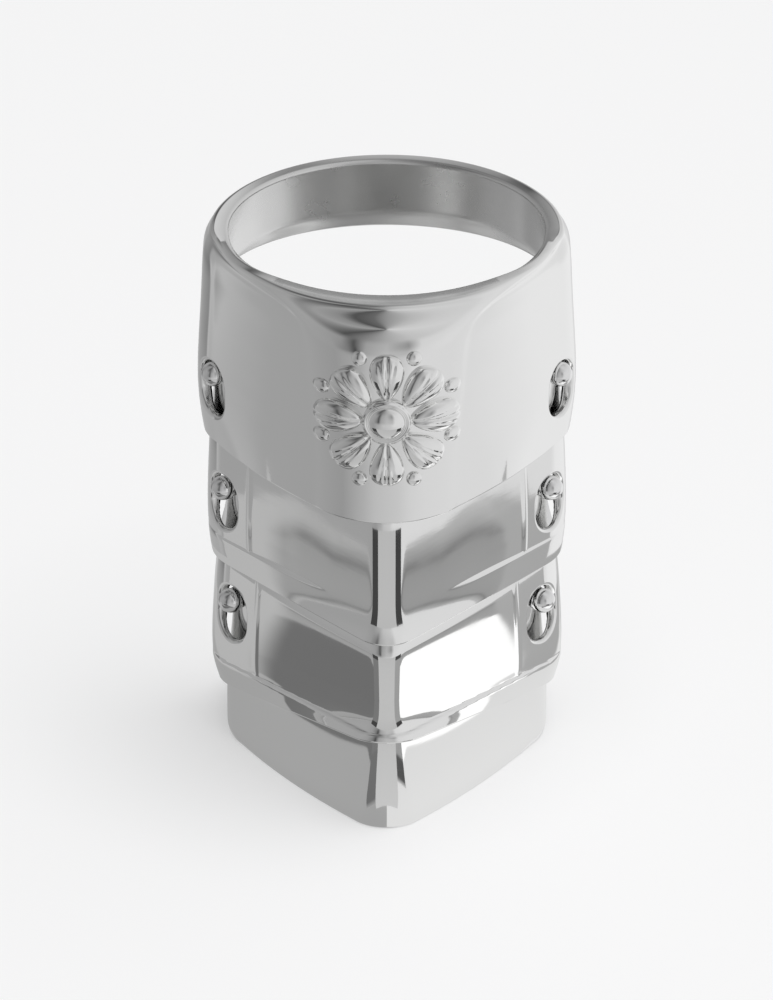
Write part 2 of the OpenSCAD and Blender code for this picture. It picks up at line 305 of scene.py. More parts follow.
# Pin lines, slots and pin holes. The slots are a little larger than the frame's
PIN_TURN = math.radians(52.0)
END_PIN_TURN = math.radians(47.0)
PIN_RISE = 0.92
SLOT_W = 2.4
SLOT_H = 3.4
SLOT_WIDER = 0.4
SLOT_TALLER = 0.1
SLOT_EDGE_R = 0.28
PIN_HOLE_R = 0.77
HOLE_EDGE_R = 0.05

# Roundings of the walls' edges
EDGE_R = 0.14
LIP_UP = 0.1
RIM_ROUND = 0.3
EDGE_STEPS = 6
EDGE_SHARE = 0.46

# Lattice of a wall: span of the domain on either side of the keel, and its steps
FRONT_SPAN = 19.0
BACK_SPAN = 16.0
SPAN = FRONT_SPAN + BACK_SPAN
STEP = 0.05
RISE_STEP = 0.05
PLAN_BLUR = 0.16
SEAM_STEP = 0.2
REAR_STEPS = 60

# Stretches round from the keel where the holes and the walls' upright ends are looked for
HOLE_REACH = (4.0, FRONT_SPAN + 2.0)
SIDE_REACH = (FRONT_SPAN - 9.0, SPAN)

# Meshing of the domain: how clear of a border its inner points stay, and small numbers
GRID_CLEAR = 0.45
HOLE_CLEAR = 0.06
HOLE_NEAR = 6.0
NUDGE = 0.02
WELD = 1e-7
TINY = 1e-9


@dataclass
class Lattice:
    """A wall's outer face and inner face, sampled on a fine lattice.

    A point's place is given by its distance round from the keel and its height before the lip's
    rise, both in millimetres.

    Attributes:
        low: Height of the first row.
        outer: Points of the outer face, rows by columns by three.
        inner: Points of the inner face.
        normal: Directions out of the outer face.
    """

    low: float
    outer: Array
    inner: Array
    normal: Array = field(init=False)
    inner_normal: Array = field(init=False)

    def __post_init__(self) -> None:
        """Work out the directions out of both faces."""
        self.normal = self._directions(self.outer)
        self.inner_normal = -self._directions(self.inner)

    @staticmethod
    def _directions(points: Array) -> Array:
        """Directions out of a face of the lattice."""
        across = np.roll(points, -1, 1) - np.roll(points, 1, 1)
        across[:, 0] = points[:, 1] - points[:, 0]
        across[:, -1] = across[:, 0] * np.array([1.0, -1.0, 1.0])
        up = np.gradient(points, axis=0)
        return unit(np.cross(up, across)) * -1.0

    def _sample(self, grid: Array, around: Array, height: Array) -> Array:
        """Read a grid between its samples."""
        col = np.clip((np.asarray(around) + SPAN) / STEP, 0, grid.shape[1] - 1.001)
        row = np.clip((np.asarray(height) - self.low) / RISE_STEP, 0, grid.shape[0] - 1.001)
        c, r = col.astype(int), row.astype(int)
        fc, fr = (col - c)[..., None], (row - r)[..., None]
        low = grid[r, c] * (1 - fc) + grid[r, c + 1] * fc
        high = grid[r + 1, c] * (1 - fc) + grid[r + 1, c + 1] * fc
        return low * (1 - fr) + high * fr

    def at(self, around: Array, height: Array) -> Array:
        """Points of the outer face."""
        return self._sample(self.outer, around, height)

    def at_inner(self, around: Array, height: Array) -> Array:
        """Points of the inner face."""
        return self._sample(self.inner, around, height)

    def out(self, around: Array, height: Array) -> Array:
        """Directions out of the outer face."""
        return unit(self._sample(self.normal, around, height))

    def out_inner(self, around: Array, height: Array) -> Array:
        """Directions out of the inner face."""
        return unit(self._sample(self.inner_normal, around, height))

    def find(self, measure: Callable[[Array], Array], wanted: float, z: float, near: tuple) -> tuple:
        """Find where the left of the outer face has a wanted measure at a true height.

        Args:
            measure: Turns points into numbers that grow from the keel to the back.
            wanted: The number wanted.
            z: The true height wanted.
            near: First and last distance round to search.

        Returns:
            The distance round, below zero, and the height before the rise.
        """
        around = np.arange(near[0], near[1], STEP)
        height = z
        found = near[0]
        for _ in range(5):
            points = self.at(-around, np.full_like(around, height))
            found = float(np.interp(wanted, measure(points), around))
            true = float(self.at(np.array([-found]), np.array([height]))[0, 2])
            height += z - true
        return -found, height


def make_lattice(
    rows: Array,
    heights: Array,
    rises: Array,
    walls: Array,
    soften: float,
    carve: Optional[Callable[[Array, Array], Array]] = None,
    bore: Optional[tuple] = None,
) -> Lattice:
    """Sample a wall from the table of its outlines.

    Args:
        rows: Outline numbers, one row to a level, from the lowest level up.
        heights: Height of each level before the rise.
        rises: Rise at the keel of each level.
        walls: Thickness at each level.
        soften: Blur along the height, in millimetres.
        carve: Distance that the face is pushed in, from distance round and height.
        bore: Heights between which the inside passes from the plate's shape to the round bore.

    Returns:
        The lattice of the wall.
    """
    low, high = float(heights[0]), float(heights[-1])
    levels = np.arange(low, high + RISE_STEP, RISE_STEP)
    table = np.stack([np.interp(levels, heights, rows[:, k]) for k in range(rows.shape[1])], -1)
    extra = np.stack([np.interp(levels, heights, rises), np.interp(levels, heights, walls)], -1)
    both = blur(np.concatenate([table, extra], -1), soften / RISE_STEP)
    n_front, n_back = int(round(FRONT_SPAN / STEP)), int(round(BACK_SPAN / STEP))
    left = []
    for row in both[:, :-2]:
        plan = Plan.from_row(row)
        front = even_steps(plan.front(), n_front + 1)
        rear = even_steps(plan.rear(), n_back + 1)
        left.append(np.concatenate([front, rear[1:]]))
    flat = np.array(left)
    mirrored = flat * np.array([-1.0, 1.0])
    full = np.concatenate([flat[:, :0:-1], mirrored], 1)
    full = np.swapaxes(blur(np.swapaxes(full, 0, 1), PLAN_BLUR / STEP), 0, 1)
    full[:, 0, 0] = full[:, -1, 0] = 0.0
    ahead = np.clip((-SHOULDER_FWD - full[..., 1]) / (both[:, 3:4] - SHOULDER_FWD), 0.0, 1.0)
    z = levels[:, None] + both[:, -2:-1] * ahead
    outer = np.concatenate([full, z[..., None]], -1)
    outer[..., 1] += MIDDLE
    around = np.linspace(-SPAN, SPAN, outer.shape[1])[None, :].repeat(len(levels), 0)
    shape = Lattice(low, outer, outer)
    inner = outer - shape.normal * both[:, -1][:, None, None]
    if carve is not None:
        outer = outer - shape.normal * carve(around, levels[:, None])[..., None]
    if bore is not None:
        radial = unit(outer[..., :2] - np.array([0.0, MIDDLE]))
        ring = np.concatenate([radial * FINGER_R + np.array([0.0, MIDDLE]), outer[..., 2:]], -1)
        share = smooth((levels - bore[0]) / (bore[1] - bore[0]))[:, None, None]
        inner = lerp(inner, ring, share)
    return Lattice(low, outer, inner)


# From lattice to mesh


@dataclass
class Edge:
    """A run of the border of a wall's domain.

    Attributes:
        points: Distance round and height of each point, with the wall on the left of the run.
        radius: Rounding of the wall's edge there.
        axis: Direction that the edge's wall follows through the metal, or None for the normal.
    """

    points: Array
    radius: float
    axis: Optional[Array] = None


def level_points(around: float, heights: Array) -> Array:
    """Points of the domain at one distance round."""
    return np.stack([np.full_like(heights, around), heights], -1)


def inside(points: Array, loop: Array) -> Array:
    """Tell which points lie inside a closed loop."""
    x, y = points[:, 0], points[:, 1]
    hit = np.zeros(len(points), bool)
    a, b = loop, np.roll(loop, -1, 0)
    for (x1, y1), (x2, y2) in zip(a, b):
        if y1 == y2:
            continue
        cross = (y1 > y) != (y2 > y)
        hit ^= cross & (x < (x2 - x1) * (y - y1) / (y2 - y1) + x1)
    return hit


def clear_of(points: Array, loop: Array, gap: Array) -> Array:
    """Tell which points lie at least a gap away from the points of a loop."""
    keep = np.ones(len(points), bool)
    for start in range(0, len(loop), 200):
        part = loop[start : start + 200]
        d = np.hypot(points[:, None, 0] - part[None, :, 0], points[:, None, 1] - part[None, :, 1])
        keep &= d.min(1) > gap
    return keep


@dataclass
class Wall:
    """Builds the closed mesh of a thin wall from its lattice and the borders of its domain.

    Attributes:
        shape: The lattice.
        borders: One closed run, or the lower and the upper run of a wall whose seam is at the back, with
            the wall on their left.
        holes: Borders of the holes, with the wall on their left.
        columns: Distances round of the mesh's columns.
        rows: Heights of the mesh's rows.
    """

    shape: Lattice
    borders: list[Edge]
    holes: list[Edge]
    columns: Array
    rows: Array

    def _seamed(self) -> bool:
        """Tell whether the wall goes all the way round and has a seam."""
        return len(self.borders) > 1

    @staticmethod
    def _join(lower: Array, upper: Array) -> tuple:
        """Join a lower and an upper run by the two sides of the seam.

        Args:
            lower: Run from the left of the seam round to its right.
            upper: Run back again.

        Returns:
            The whole border, the places of each run's points in it, and the seam's pairs of places.
        """
        low, high = sorted([float(lower[-1, 1]), float(upper[0, 1])])
        count = max(2, int((high - low) / SEAM_STEP))
        inner = np.linspace(low, high, count + 1)[1:-1]
        border = np.concatenate([lower, level_points(SPAN, inner), upper, level_points(-SPAN, inner[::-1])])
        first, n = len(lower), len(inner)
        start, last = first + n, first + n + len(upper) - 1
        pairs = [(first + k, last + n - k) for k in range(n)] + [(first - 1, 0), (start, last)]
        return border, [np.arange(first), np.arange(start, last + 1)], pairs

    def _domain(self) -> tuple:
        """Triangulate the domain.

        Returns:
            Domain points, triangles, for each border or hole the places of its points, and the seam's
            pairs of places.
        """
        if self._seamed():
            border, chains, pairs = self._join(self.borders[0].points, self.borders[1].points)
        else:
            border = self.borders[0].points
            chains, pairs = [np.arange(len(border))], []
        grid = np.stack(np.meshgrid(self.columns, self.rows), -1).reshape(-1, 2)
        grid = grid[inside(grid, border)]
        col_gap = np.interp(grid[:, 0], self.columns[1:], np.diff(self.columns))
        row_gap = np.interp(grid[:, 1], self.rows[1:], np.diff(self.rows))
        gap = GRID_CLEAR * np.minimum(col_gap, row_gap) + 0.01
        grid = grid[clear_of(grid, border, gap)]
        for hole in self.holes:
            near = np.hypot(*(grid - hole.points.mean(0)).T) < HOLE_NEAR
            keep = np.ones(len(grid), bool)
            part = grid[near]
            keep[near] = ~inside(part, hole.points) & clear_of(part, hole.points, HOLE_CLEAR)
            grid = grid[keep]
        points = [border] + [h.points for h in self.holes] + [grid]
        sizes = np.cumsum([0] + [len(p) for p in points])
        edges = [(k, (k + 1) % len(border)) for k in range(len(border))]
        for k in range(len(self.holes)):
            first, count = sizes[k + 1], len(self.holes[k].points)
            edges += [(first + i, first + (i + 1) % count) for i in range(count)]
        flat = np.concatenate(points)
        found = geometry.delaunay_2d_cdt([Vector(p) for p in flat], edges, [], 0, WELD, True)
        verts, faces, source = found[0], found[2], found[3]
        if len(verts) != len(flat):
            LOG.warning("domain changed from %d to %d points", len(flat), len(verts))
        where = {old: new for new, olds in enumerate(source) for old in olds}
        place = np.array([where[k] for k in range(len(flat))])
        back = np.empty(len(verts), int)
        back[place] = np.arange(len(flat))
        tris = back[np.array(faces, int)]
        middle = flat[tris].mean(1)
        keep = inside(middle, border)
        for hole in self.holes:
            keep &= ~inside(middle, hole.points)
        tris = tris[keep]
        chains += [np.arange(sizes[k + 1], sizes[k + 2]) for k in range(len(self.holes))]
        return flat, tris, chains, pairs

    def mesh(self, name: str) -> bpy.types.Object:
        """Make the wall's object.

        Args:
            name: Name of the object.

        Returns:
            The object, with directions set by the lattice.
        """
        flat, tris, chains, pairs = self._domain()
        around, height = flat[:, 0], flat[:, 1]
        outer, inner = self.shape.at(around, height), self.shape.at_inner(around, height)
        out, out_inner = self.shape.out(around, height), self.shape.out_inner(around, height)
        count = len(flat)
        edges = self.borders + self.holes
        points, normals = [outer, inner], [out, out_inner]
        shares = [np.zeros(count), np.ones(count)]
        faces = [tris, tris[:, ::-1] + count]
        total = 2 * count
        same = np.arange(2 * count)
        for right, left in pairs:
            same[right] = left
            same[right + count] = left + count
        quads = []
        for index, (edge, ids) in enumerate(zip(edges, chains)):
            closed = not (self._seamed() and index < len(self.borders))
            path = flat[ids]
            side = self._away(path, closed)
            n = out[ids]
            side = unit(side - n * (side * n).sum(-1, keepdims=True))
            if edge.axis is not None:
                depth = np.linalg.norm(outer[ids] - inner[ids], axis=-1)
                axis = edge.axis * np.concatenate([-np.sign(path[:, :1]), np.ones((len(path), 2))], -1)
                reach = depth / np.maximum((axis * n).sum(-1), 0.5)
                inner[ids] = outer[ids] - axis * reach[:, None]
            ring, ring_n = self._rounding(outer[ids], inner[ids], n, side, edge.radius)
            m = len(ids)
            bands = [ids] + [np.arange(total + k * m, total + (k + 1) * m) for k in range(len(ring))]
            bands.append(ids + count)
            points += ring
            normals += ring_n
            shares += [np.full(m, float(k >= EDGE_STEPS)) for k in range(len(ring))]
            same = np.concatenate([same, np.arange(len(ring) * m) + total])
            if not closed:
                near_left = path[0, 0] < path[-1, 0]
                for first in range(total, total + len(ring) * m, m):
                    last = first + m - 1
                    same[last if near_left else first] = first if near_left else last
            total += len(ring) * m
            for a, b in zip(bands[:-1], bands[1:]):
                if closed:
                    a2, b2 = np.roll(a, -1), np.roll(b, -1)
                    quads.append(np.stack([a, b, b2, a2], -1))
                else:
                    quads.append(np.stack([a[:-1], b[:-1], b[1:], a[1:]], -1))
        points, normals = np.concatenate(points), np.concatenate(normals)
        tri = same[np.concatenate(faces)]
        quad = same[np.concatenate(quads)]
        used = np.unique(np.concatenate([tri.ravel(), quad.ravel()]))
        back = np.full(total, -1)
        back[used] = np.arange(len(used))
        share = np.concatenate(shares)[used]
        return mesh_object(name, points[used], [back[tri], back[quad]], normals[used], share)

    def _away(self, path: Array, closed: bool) -> Array:
        """Directions on the outer face that lead out of the domain across a run of its border."""
        along = np.roll(path, -1, 0) - np.roll(path, 1, 0) if closed else np.gradient(path, axis=0)
        away = np.stack([along[:, 1], -along[:, 0]], -1)
        away = away / np.maximum(np.hypot(*away.T), TINY)[:, None] * NUDGE
        a = self.shape.at(path[:, 0] + away[:, 0], path[:, 1] + away[:, 1])
        b = self.shape.at(path[:, 0] - away[:, 0], path[:, 1] - away[:, 1])
        return unit(a - b)

    @staticmethod
    def _rounding(outer: Array, inner: Array, normal: Array, side: Array, radius: float) -> tuple:
        """Round a wall's edge off.

        Args:
            outer: Points of the edge on the outer face.
            inner: Points of the edge on the inner face.
            normal: Directions out of the outer face.
            side: Directions out of the wall along its face.
            radius: Rounding wanted, which stays under half the wall.

        Returns:
            Rows of points from the outer to the inner face, and their directions.
        """
        run = outer - inner
        depth = np.linalg.norm(run, axis=-1, keepdims=True)
        through = run / np.maximum(depth, TINY)
        r = np.minimum(radius, EDGE_SHARE * depth)
        turns = [k / EDGE_STEPS * math.pi / 2 for k in range(1, EDGE_STEPS + 1)]
        waves = [(math.cos(turn), math.sin(turn)) for turn in turns]
        ring, ring_n = [], []
        for cos, sin in waves:
            ring.append(outer + side * r * sin - through * r * (1 - cos))
            ring_n.append(unit(normal * cos + side * sin))
        for cos, sin in reversed(waves):
            ring.append(inner + side * r * sin + through * r * (1 - cos))
            ring_n.append(unit(-through * cos + side * sin))
        return ring, ring_n


def mesh_object(
    name: str,
    points: Array,
    faces: Sequence[Array],
    normals: Optional[Array] = None,
    inside_share: Optional[Array] = None,
) -> bpy.types.Object:
    """Make an object from points in millimetres.

    Args:
        name: Name of the object.
        points: Points, one to a row.
        faces: Arrays of corner indices, one array for each number of corners.
        normals: Directions out of the surface at the points, or None.
        inside_share: How far each point belongs to the inside, which is unpolished and darkened with painted
            shade, or None.

    Returns:
        The object, linked to the scene.
    """
    mesh = bpy.data.meshes.new(name)
    corners = np.concatenate([f.ravel() for f in faces]).astype(np.int32)
    sizes = np.concatenate([np.full(len(f), f.shape[1]) for f in faces]).astype(np.int32)
    mesh.vertices.add(len(points))
    mesh.vertices.foreach_set("co", (points * MM).astype(np.float32).ravel())
    mesh.loops.add(len(corners))
    mesh.loops.foreach_set("vertex_index", corners)
    mesh.polygons.add(len(sizes))
    starts = np.concatenate([[0], np.cumsum(sizes)[:-1]])
    mesh.polygons.foreach_set("loop_start", starts.astype(np.int32))
    mesh.polygons.foreach_set("loop_total", sizes)
    mesh.update(calc_edges=True)
    if inside_share is not None:
        share = mesh.attributes.new("inside", "FLOAT", "POINT")
        share.data.foreach_set("value", inside_share.astype(np.float32))
    mesh.validate()
    mesh.polygons.foreach_set("use_smooth", np.ones(len(mesh.polygons), bool))
    if normals is not None and len(mesh.vertices) == len(normals):
        mesh.normals_split_custom_set_from_vertices([tuple(n) for n in normals])
    obj = bpy.data.objects.new(name, mesh)
    bpy.context.scene.collection.objects.link(obj)
    return obj


def graded(stops: Sequence[tuple]) -> Array:
    """Make steps that grow and shrink between stops.

    Args:
        stops: Pairs of a place and the step wanted there, in order.

    Returns:
        Places from the first stop to the last.
    """
    places, steps = np.array(stops).T
    out = [places[0]]
    while out[-1] < places[-1]:
        out.append(out[-1] + float(np.interp(out[-1], places, steps)))
    values = np.array(out)
    return places[0] + (values - places[0]) * (places[-1] - places[0]) / (values[-1] - places[0])


# Finishes


CLOUD_SCALE = 420.0
CLOUD_RANGE = (0.35, 0.75)
WAVE_SCALE = 190.0
HAIR_STRETCH = (260.0, 260.0, 1500.0)
SWELL_H = 0.0001
SCRATCH_H = 0.00001


@dataclass(frozen=True)
class Silver:
    """Polished cast silver.

    Attributes:
        name: Name of the material.
        tone: Colour of the metal.
        gloss: Roughness where it is best polished.
        worn: Roughness where it is least polished.
        ripple: Strength of the low waves that the polishing wheel left.
        hairline: Strength of the fine hairlines.
        shaded_inner_tone: Colour of the metal inside the finger hole, darker than the outside as painted
            shade.
        inner_rough: Roughness added inside the finger hole.
    """

    name: str
    tone: tuple
    gloss: float
    worn: float
    ripple: float
    hairline: float
    shaded_inner_tone: tuple = (0.8, 0.8, 0.795)
    inner_rough: float = 0.2

    def build(self) -> bpy.types.Material:
        """Make the material's nodes."""
        material, make, shader = new_material(self.name)
        within = make.add("ShaderNodeAttribute", attribute_name="inside").outputs["Fac"]
        place = make.add("ShaderNodeTexCoord").outputs["Object"]
        # The inside's darker colour is painted shade; its added roughness is the unpolished metal.
        tones = {"A": (*self.tone, 1.0), "B": (*self.shaded_inner_tone, 1.0), "Factor": within}
        tone = make.add("ShaderNodeMix", tones, data_type="RGBA")
        clouds = make.add("ShaderNodeTexNoise", {"Vector": place, "Scale": CLOUD_SCALE, "Detail": 4.0})
        polish = make.spread(clouds.outputs["Fac"], *CLOUD_RANGE)
        make.feed(polish, "To Min", self.gloss)
        make.feed(polish, "To Max", self.worn)
        rough = make.math("MULTIPLY_ADD", within, self.inner_rough, polish.outputs["Result"])
        waves = make.add("ShaderNodeTexNoise", {"Vector": place, "Scale": WAVE_SCALE, "Detail": 1.0})
        stretch = make.add("ShaderNodeMapping", {"Vector": place, "Scale": HAIR_STRETCH})
        along = stretch.outputs["Vector"]
        lines = make.add("ShaderNodeTexNoise", {"Vector": along, "Scale": 1.0, "Detail": 3.0})
        swell = make.add("ShaderNodeBump", {
            "Strength": self.ripple, "Distance": SWELL_H, "Height": waves.outputs["Fac"]})
        scratch = make.add("ShaderNodeBump", {
            "Strength": self.hairline, "Distance": SCRATCH_H, "Height": lines.outputs["Fac"],
            "Normal": swell.outputs["Normal"]})
        make.feed(shader, "Metallic", 1.0)
        make.feed(shader, "Base Color", tone.outputs["Result"])
        make.feed(shader, "Roughness", rough)
        make.feed(shader, "Normal", scratch.outputs["Normal"])
        return material


PLATE_SILVER = Silver("plate_silver", (0.93, 0.93, 0.925), 0.035, 0.09, 0.05, 0.12)
PIN_SILVER = Silver("pin_silver", (0.9, 0.9, 0.9), 0.06, 0.14, 0.03, 0.15)


# The plates

TOP_ROWS = np.array([
    # Share of the height below the rim, spread, keel, keel softness, wall
    [0.000, 0.00, 0.00, 1.00, 1.0],
    [0.022, 0.00, 0.00, 1.00, 1.0],
    [0.045, 0.22, 0.24, 0.70, 1.0],
    [0.070, 0.38, 0.50, 0.42, 1.0],
    [0.105, 0.50, 0.72, 0.22, 1.0],
    [0.160, 0.56, 0.84, 0.14, 1.0],
    [0.260, 0.63, 0.89, 0.10, 1.0],
    [0.380, 0.73, 0.93, 0.08, 1.0],
    [0.520, 0.87, 0.955, 0.05, 1.0],
    [0.640, 0.97, 0.97, 0.02, 1.0],
    [0.740, 1.00, 0.98, 0.00, 1.0],
    [0.840, 0.93, 0.987, 0.00, 0.9],
    [0.920, 0.79, 0.993, 0.00, 0.6],
    [0.970, 0.68, 0.997, 0.00, 0.3],
    [1.000, 0.61, 1.00, 0.00, 0.0]])

SECOND_ROWS = np.array([
    # Height share (over 1 in the tuck), narrowing, keel narrowing, lip curl, lip softness, wall.
    # The keel is upright over a soft lip
    [2.00, 1.00, 1.00, 0.00, 0.0, 1.0],
    [1.60, 0.97, 0.96, 0.00, 0.0, 1.0],
    [1.25, 0.82, 0.76, 0.00, 0.0, 1.0],
    [1.10, 0.56, 0.47, 0.00, 0.0, 0.9],
    [1.01, 0.39, 0.22, 0.00, 0.0, 0.85],
    [0.90, 0.29, 0.21, 0.00, 0.0, 0.85],
    [0.76, 0.20, 0.21, 0.00, 0.0, 0.85],
    [0.62, 0.11, 0.21, 0.00, 0.0, 0.9],
    [0.46, 0.03, 0.21, 0.02, 0.0, 1.0],
    [0.36, 0.00, 0.21, 0.06, 0.0, 0.8],
    [0.28, 0.00, 0.21, 0.10, 0.0, 0.6],
    [0.20, 0.00, 0.20, 0.24, 0.03, 0.4],
    [0.10, 0.00, 0.16, 0.52, 0.12, 0.2],
    [0.03, 0.00, 0.10, 0.84, 0.3, 0.05],
    [0.00, 0.00, 0.07, 1.00, 0.4, 0.0]])

THIRD_ROWS = np.array([
    # As for the second plate. The face is even down to the crease over the lip
    [2.00, 1.03, 1.10, 0.00, 0.0, 1.0],
    [1.60, 0.99, 1.03, 0.00, 0.0, 1.0],
    [1.25, 0.84, 0.85, 0.00, 0.0, 1.0],
    [1.10, 0.66, 0.70, 0.00, 0.0, 1.0],
    [1.00, 0.48, 0.48, 0.00, 0.0, 1.0],
    [0.94, 0.40, 0.32, 0.00, 0.0, 1.0],
    [0.88, 0.34, 0.22, 0.00, 0.0, 1.0],
    [0.76, 0.24, 0.19, 0.00, 0.0, 1.0],
    [0.62, 0.14, 0.18, 0.00, 0.0, 1.0],
    [0.46, 0.05, 0.17, 0.00, 0.0, 0.9],
    [0.32, 0.00, 0.16, 0.00, 0.0, 0.7],
    [0.20, 0.00, 0.15, 0.04, 0.05, 0.45],
    [0.10, 0.00, 0.11, 0.42, 0.3, 0.2],
    [0.03, 0.00, 0.04, 0.84, 0.6, 0.1],
    [0.00, 0.00, 0.02, 1.00, 0.7, 0.0]])

END_ROWS = np.array([
    # As for the second plate. The keel is straight to the floor
    [2.00, 1.00, 1.00, 0.00, 0.0, 1.0],
    [1.70, 0.88, 0.94, 0.00, 0.0, 1.0],
    [1.45, 0.66, 0.80, 0.00, 0.0, 1.0],
    [1.30, 0.50, 0.64, 0.00, 0.0, 1.0],
    [1.20, 0.36, 0.48, 0.00, 0.0, 1.0],
    [1.10, 0.20, 0.26, 0.00, 0.0, 1.0],
    [1.00, 0.04, 0.04, 0.00, 0.0, 1.0],
    [0.50, 0.00, 0.00, 0.00, 0.4, 1.0],
    [0.20, 0.00, 0.00, 0.00, 0.8, 1.0],
    [0.10, 0.00, 0.00, 0.06, 0.9, 1.0],
    [0.04, 0.00, 0.00, 0.32, 0.95, 0.9],
    [0.00, 0.00, 0.00, 1.00, 1.0, 0.6]])

# Rows that the pin lines are taken at, and the end plate's row that the painted reflection cards on the floor
# start from
TOP_FACE = TOP_ROWS[10]
BELL_FACE = np.array([0.46, 0.0, 0.0, 0.02, 0.0, 1.0])
BELL_TUCK = np.array([1.6, 0.97, 0.96, 0.0, 0.0, 1.0])
END_TUCK = END_ROWS[1]
END_FOOT = END_ROWS[5]


@dataclass
class PinPlace:
    """Where a pair of pins leaves the plate that it rides in.

    Attributes:
        point: Place of the left pin's axis on that plate's outside, as x and y in the plan.
        z: Height of the pin.
        turn: Turn from straight ahead.
        depth: Distance from the point to the inside of the plate that carries the pin.
    """

    point: Array
    z: float
    turn: float
    depth: float

    def axis(self) -> Array:
        """Direction out along the left pin."""
        return np.append(out_dir(self.turn), 0.0)

    def origin(self) -> Array:
        """The point in the part's own frame."""
        return np.array([self.point[0], self.point[1] + MIDDLE, self.z])

    def across(self, points: Array) -> Array:
        """Distance of points sideways from the pin, growing towards the back."""
        way = out_dir(self.turn)
        x, y = points[..., 0] - self.point[0], points[..., 1] - MIDDLE - self.point[1]
        return x * way[1] - y * way[0]


def stadium(width: float, height: float, step: float = 0.1) -> Array:
    """Outline of an upright slot, clockwise from its right."""
    r = width / 2
    half = height / 2 - r
    n = max(10, int(math.pi * r / step))
    t = np.linspace(0, math.pi, n)
    top = np.stack([r * np.cos(t), half + r * np.sin(t)], -1)
    low = np.stack([-r * np.cos(t), -half - r * np.sin(t)], -1)
    m = max(1, int(2 * half / step)) if half > 0 else 0
    side = np.linspace(half, -half, m + 2)[1:-1] if m else np.array([])
    left = np.stack([np.full_like(side, -r), side], -1)
    right = np.stack([np.full_like(side, r), -side], -1)
    if half <= 0:
        top, low = top[:-1], low[:-1]
    return np.concatenate([top, left, low, right])[::-1]


def round_hole(radius: float) -> Array:
    """Outline of a round hole."""
    return stadium(2 * radius, 2 * radius)


def holes_at(shape: Lattice, place: PinPlace, z: float, outline: Array, radius: float) -> list[Edge]:
    """Place a hole on both sides of a wall.

    Args:
        shape: The wall's lattice.
        place: The pin line that the hole follows.
        z: Height of the hole's middle.
        outline: Sideways distance and height of each point of the hole, before its edge's rounding.
        radius: Rounding of the edge.

    Returns:
        The holes' borders, left and right.
    """
    ring = np.array([shape.find(place.across, across, z + up, HOLE_REACH) for across, up in outline])
    area = np.sum(ring[:, 0] * np.roll(ring[:, 1], -1) - np.roll(ring[:, 0], -1) * ring[:, 1])
    if area > 0:
        ring = ring[::-1]
    return [Edge(ring, radius, place.axis()), Edge(mirror_run(ring), radius, place.axis())]


def slots_at(shape: Lattice, place: PinPlace, z: float) -> list[Edge]:
    """Place a pair of slots with well rounded edges."""
    grown = 2 * SLOT_EDGE_R
    outline = stadium(SLOT_W + SLOT_WIDER + grown, SLOT_H + SLOT_TALLER + grown)
    return holes_at(shape, place, z, outline, SLOT_EDGE_R)


def mirror_run(right: Array) -> Array:
    """Mirror image of a run on the other side of the keel, in the opposite order."""
    return (right * np.array([-1.0, 1.0]))[::-1]


def side_run(shape: Lattice, points: Array) -> Array:
    """Turn points given by y and z on the right of the ring into the domain."""
    out = []
    for y, z in points:
        around, height = shape.find(lambda p: p[..., 1], y + MIDDLE, z, SIDE_REACH)
        out.append((-around, height))
    return np.array(out)


def corner(y: float, z: float, r: float, start: float, end: float, steps: int = 16) -> Array:
    """Arc in the side view, from a start to an end angle in degrees."""
    t = np.radians(np.linspace(start, end, steps))
    return np.stack([y + r * np.cos(t), z + r * np.sin(t)], -1)


def upright_run(low: float, high: float, steps: int) -> Array:
    """Side view of a wall's upright end, without its own ends."""
    return level_points(SIDE_END - EDGE_R, np.linspace(low, high, steps)[1:-1])


def level_run(around: Array, height: float) -> Array:
    """Points of the domain along a level line."""
    return np.stack([around, np.full_like(around, height)], -1)


def front_run(half: float, height: float, columns: Array) -> Array:
    """Points along a level edge across the front, from left to right."""
    keep = columns[np.abs(columns) < half - 0.05]
    return level_run(np.concatenate([[-half], keep, [half]]), height)


@dataclass
class PlateForm:
    """Sizes and making of one plate.

    Attributes:
        name: Name of the plate's object and of its node in the frame.
        body: Body that it rides on.
        z: Height of its lower edge.
        shown: Height of the part that shows.
        tuck: Height of the part that tucks into the plate above.
        rise: Rise of the lower lip at the keel.
        wave: Blur of its table along the height.
    """

    name: str
    body: str
    z: float
    shown: float
    tuck: float
    rise: float
    wave: float

    def columns(self) -> Array:
        """Distances round of the mesh's columns, closest at the keel."""
        half = graded([
            (0.0, 0.07), (1.8, 0.09), (3.2, 0.22), (8.0, 0.24), (11.0, 0.16), (19.0, 0.2), (SPAN, 0.34)])
        return np.concatenate([-half[:0:-1], half])

    def low_corner(self) -> Array:
        """Side view of the rounded corner at the lower end of an open back."""
        return corner(SIDE_END - LOW_R, self.z + LOW_R, LOW_R - EDGE_R, 270, 360, 28)

    def make(self, wall: Wall) -> bpy.types.Object:
        """Make the plate's object from its wall."""
        obj = wall.mesh(self.name)
        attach(obj, self.body)
        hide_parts(self.name)
        return obj


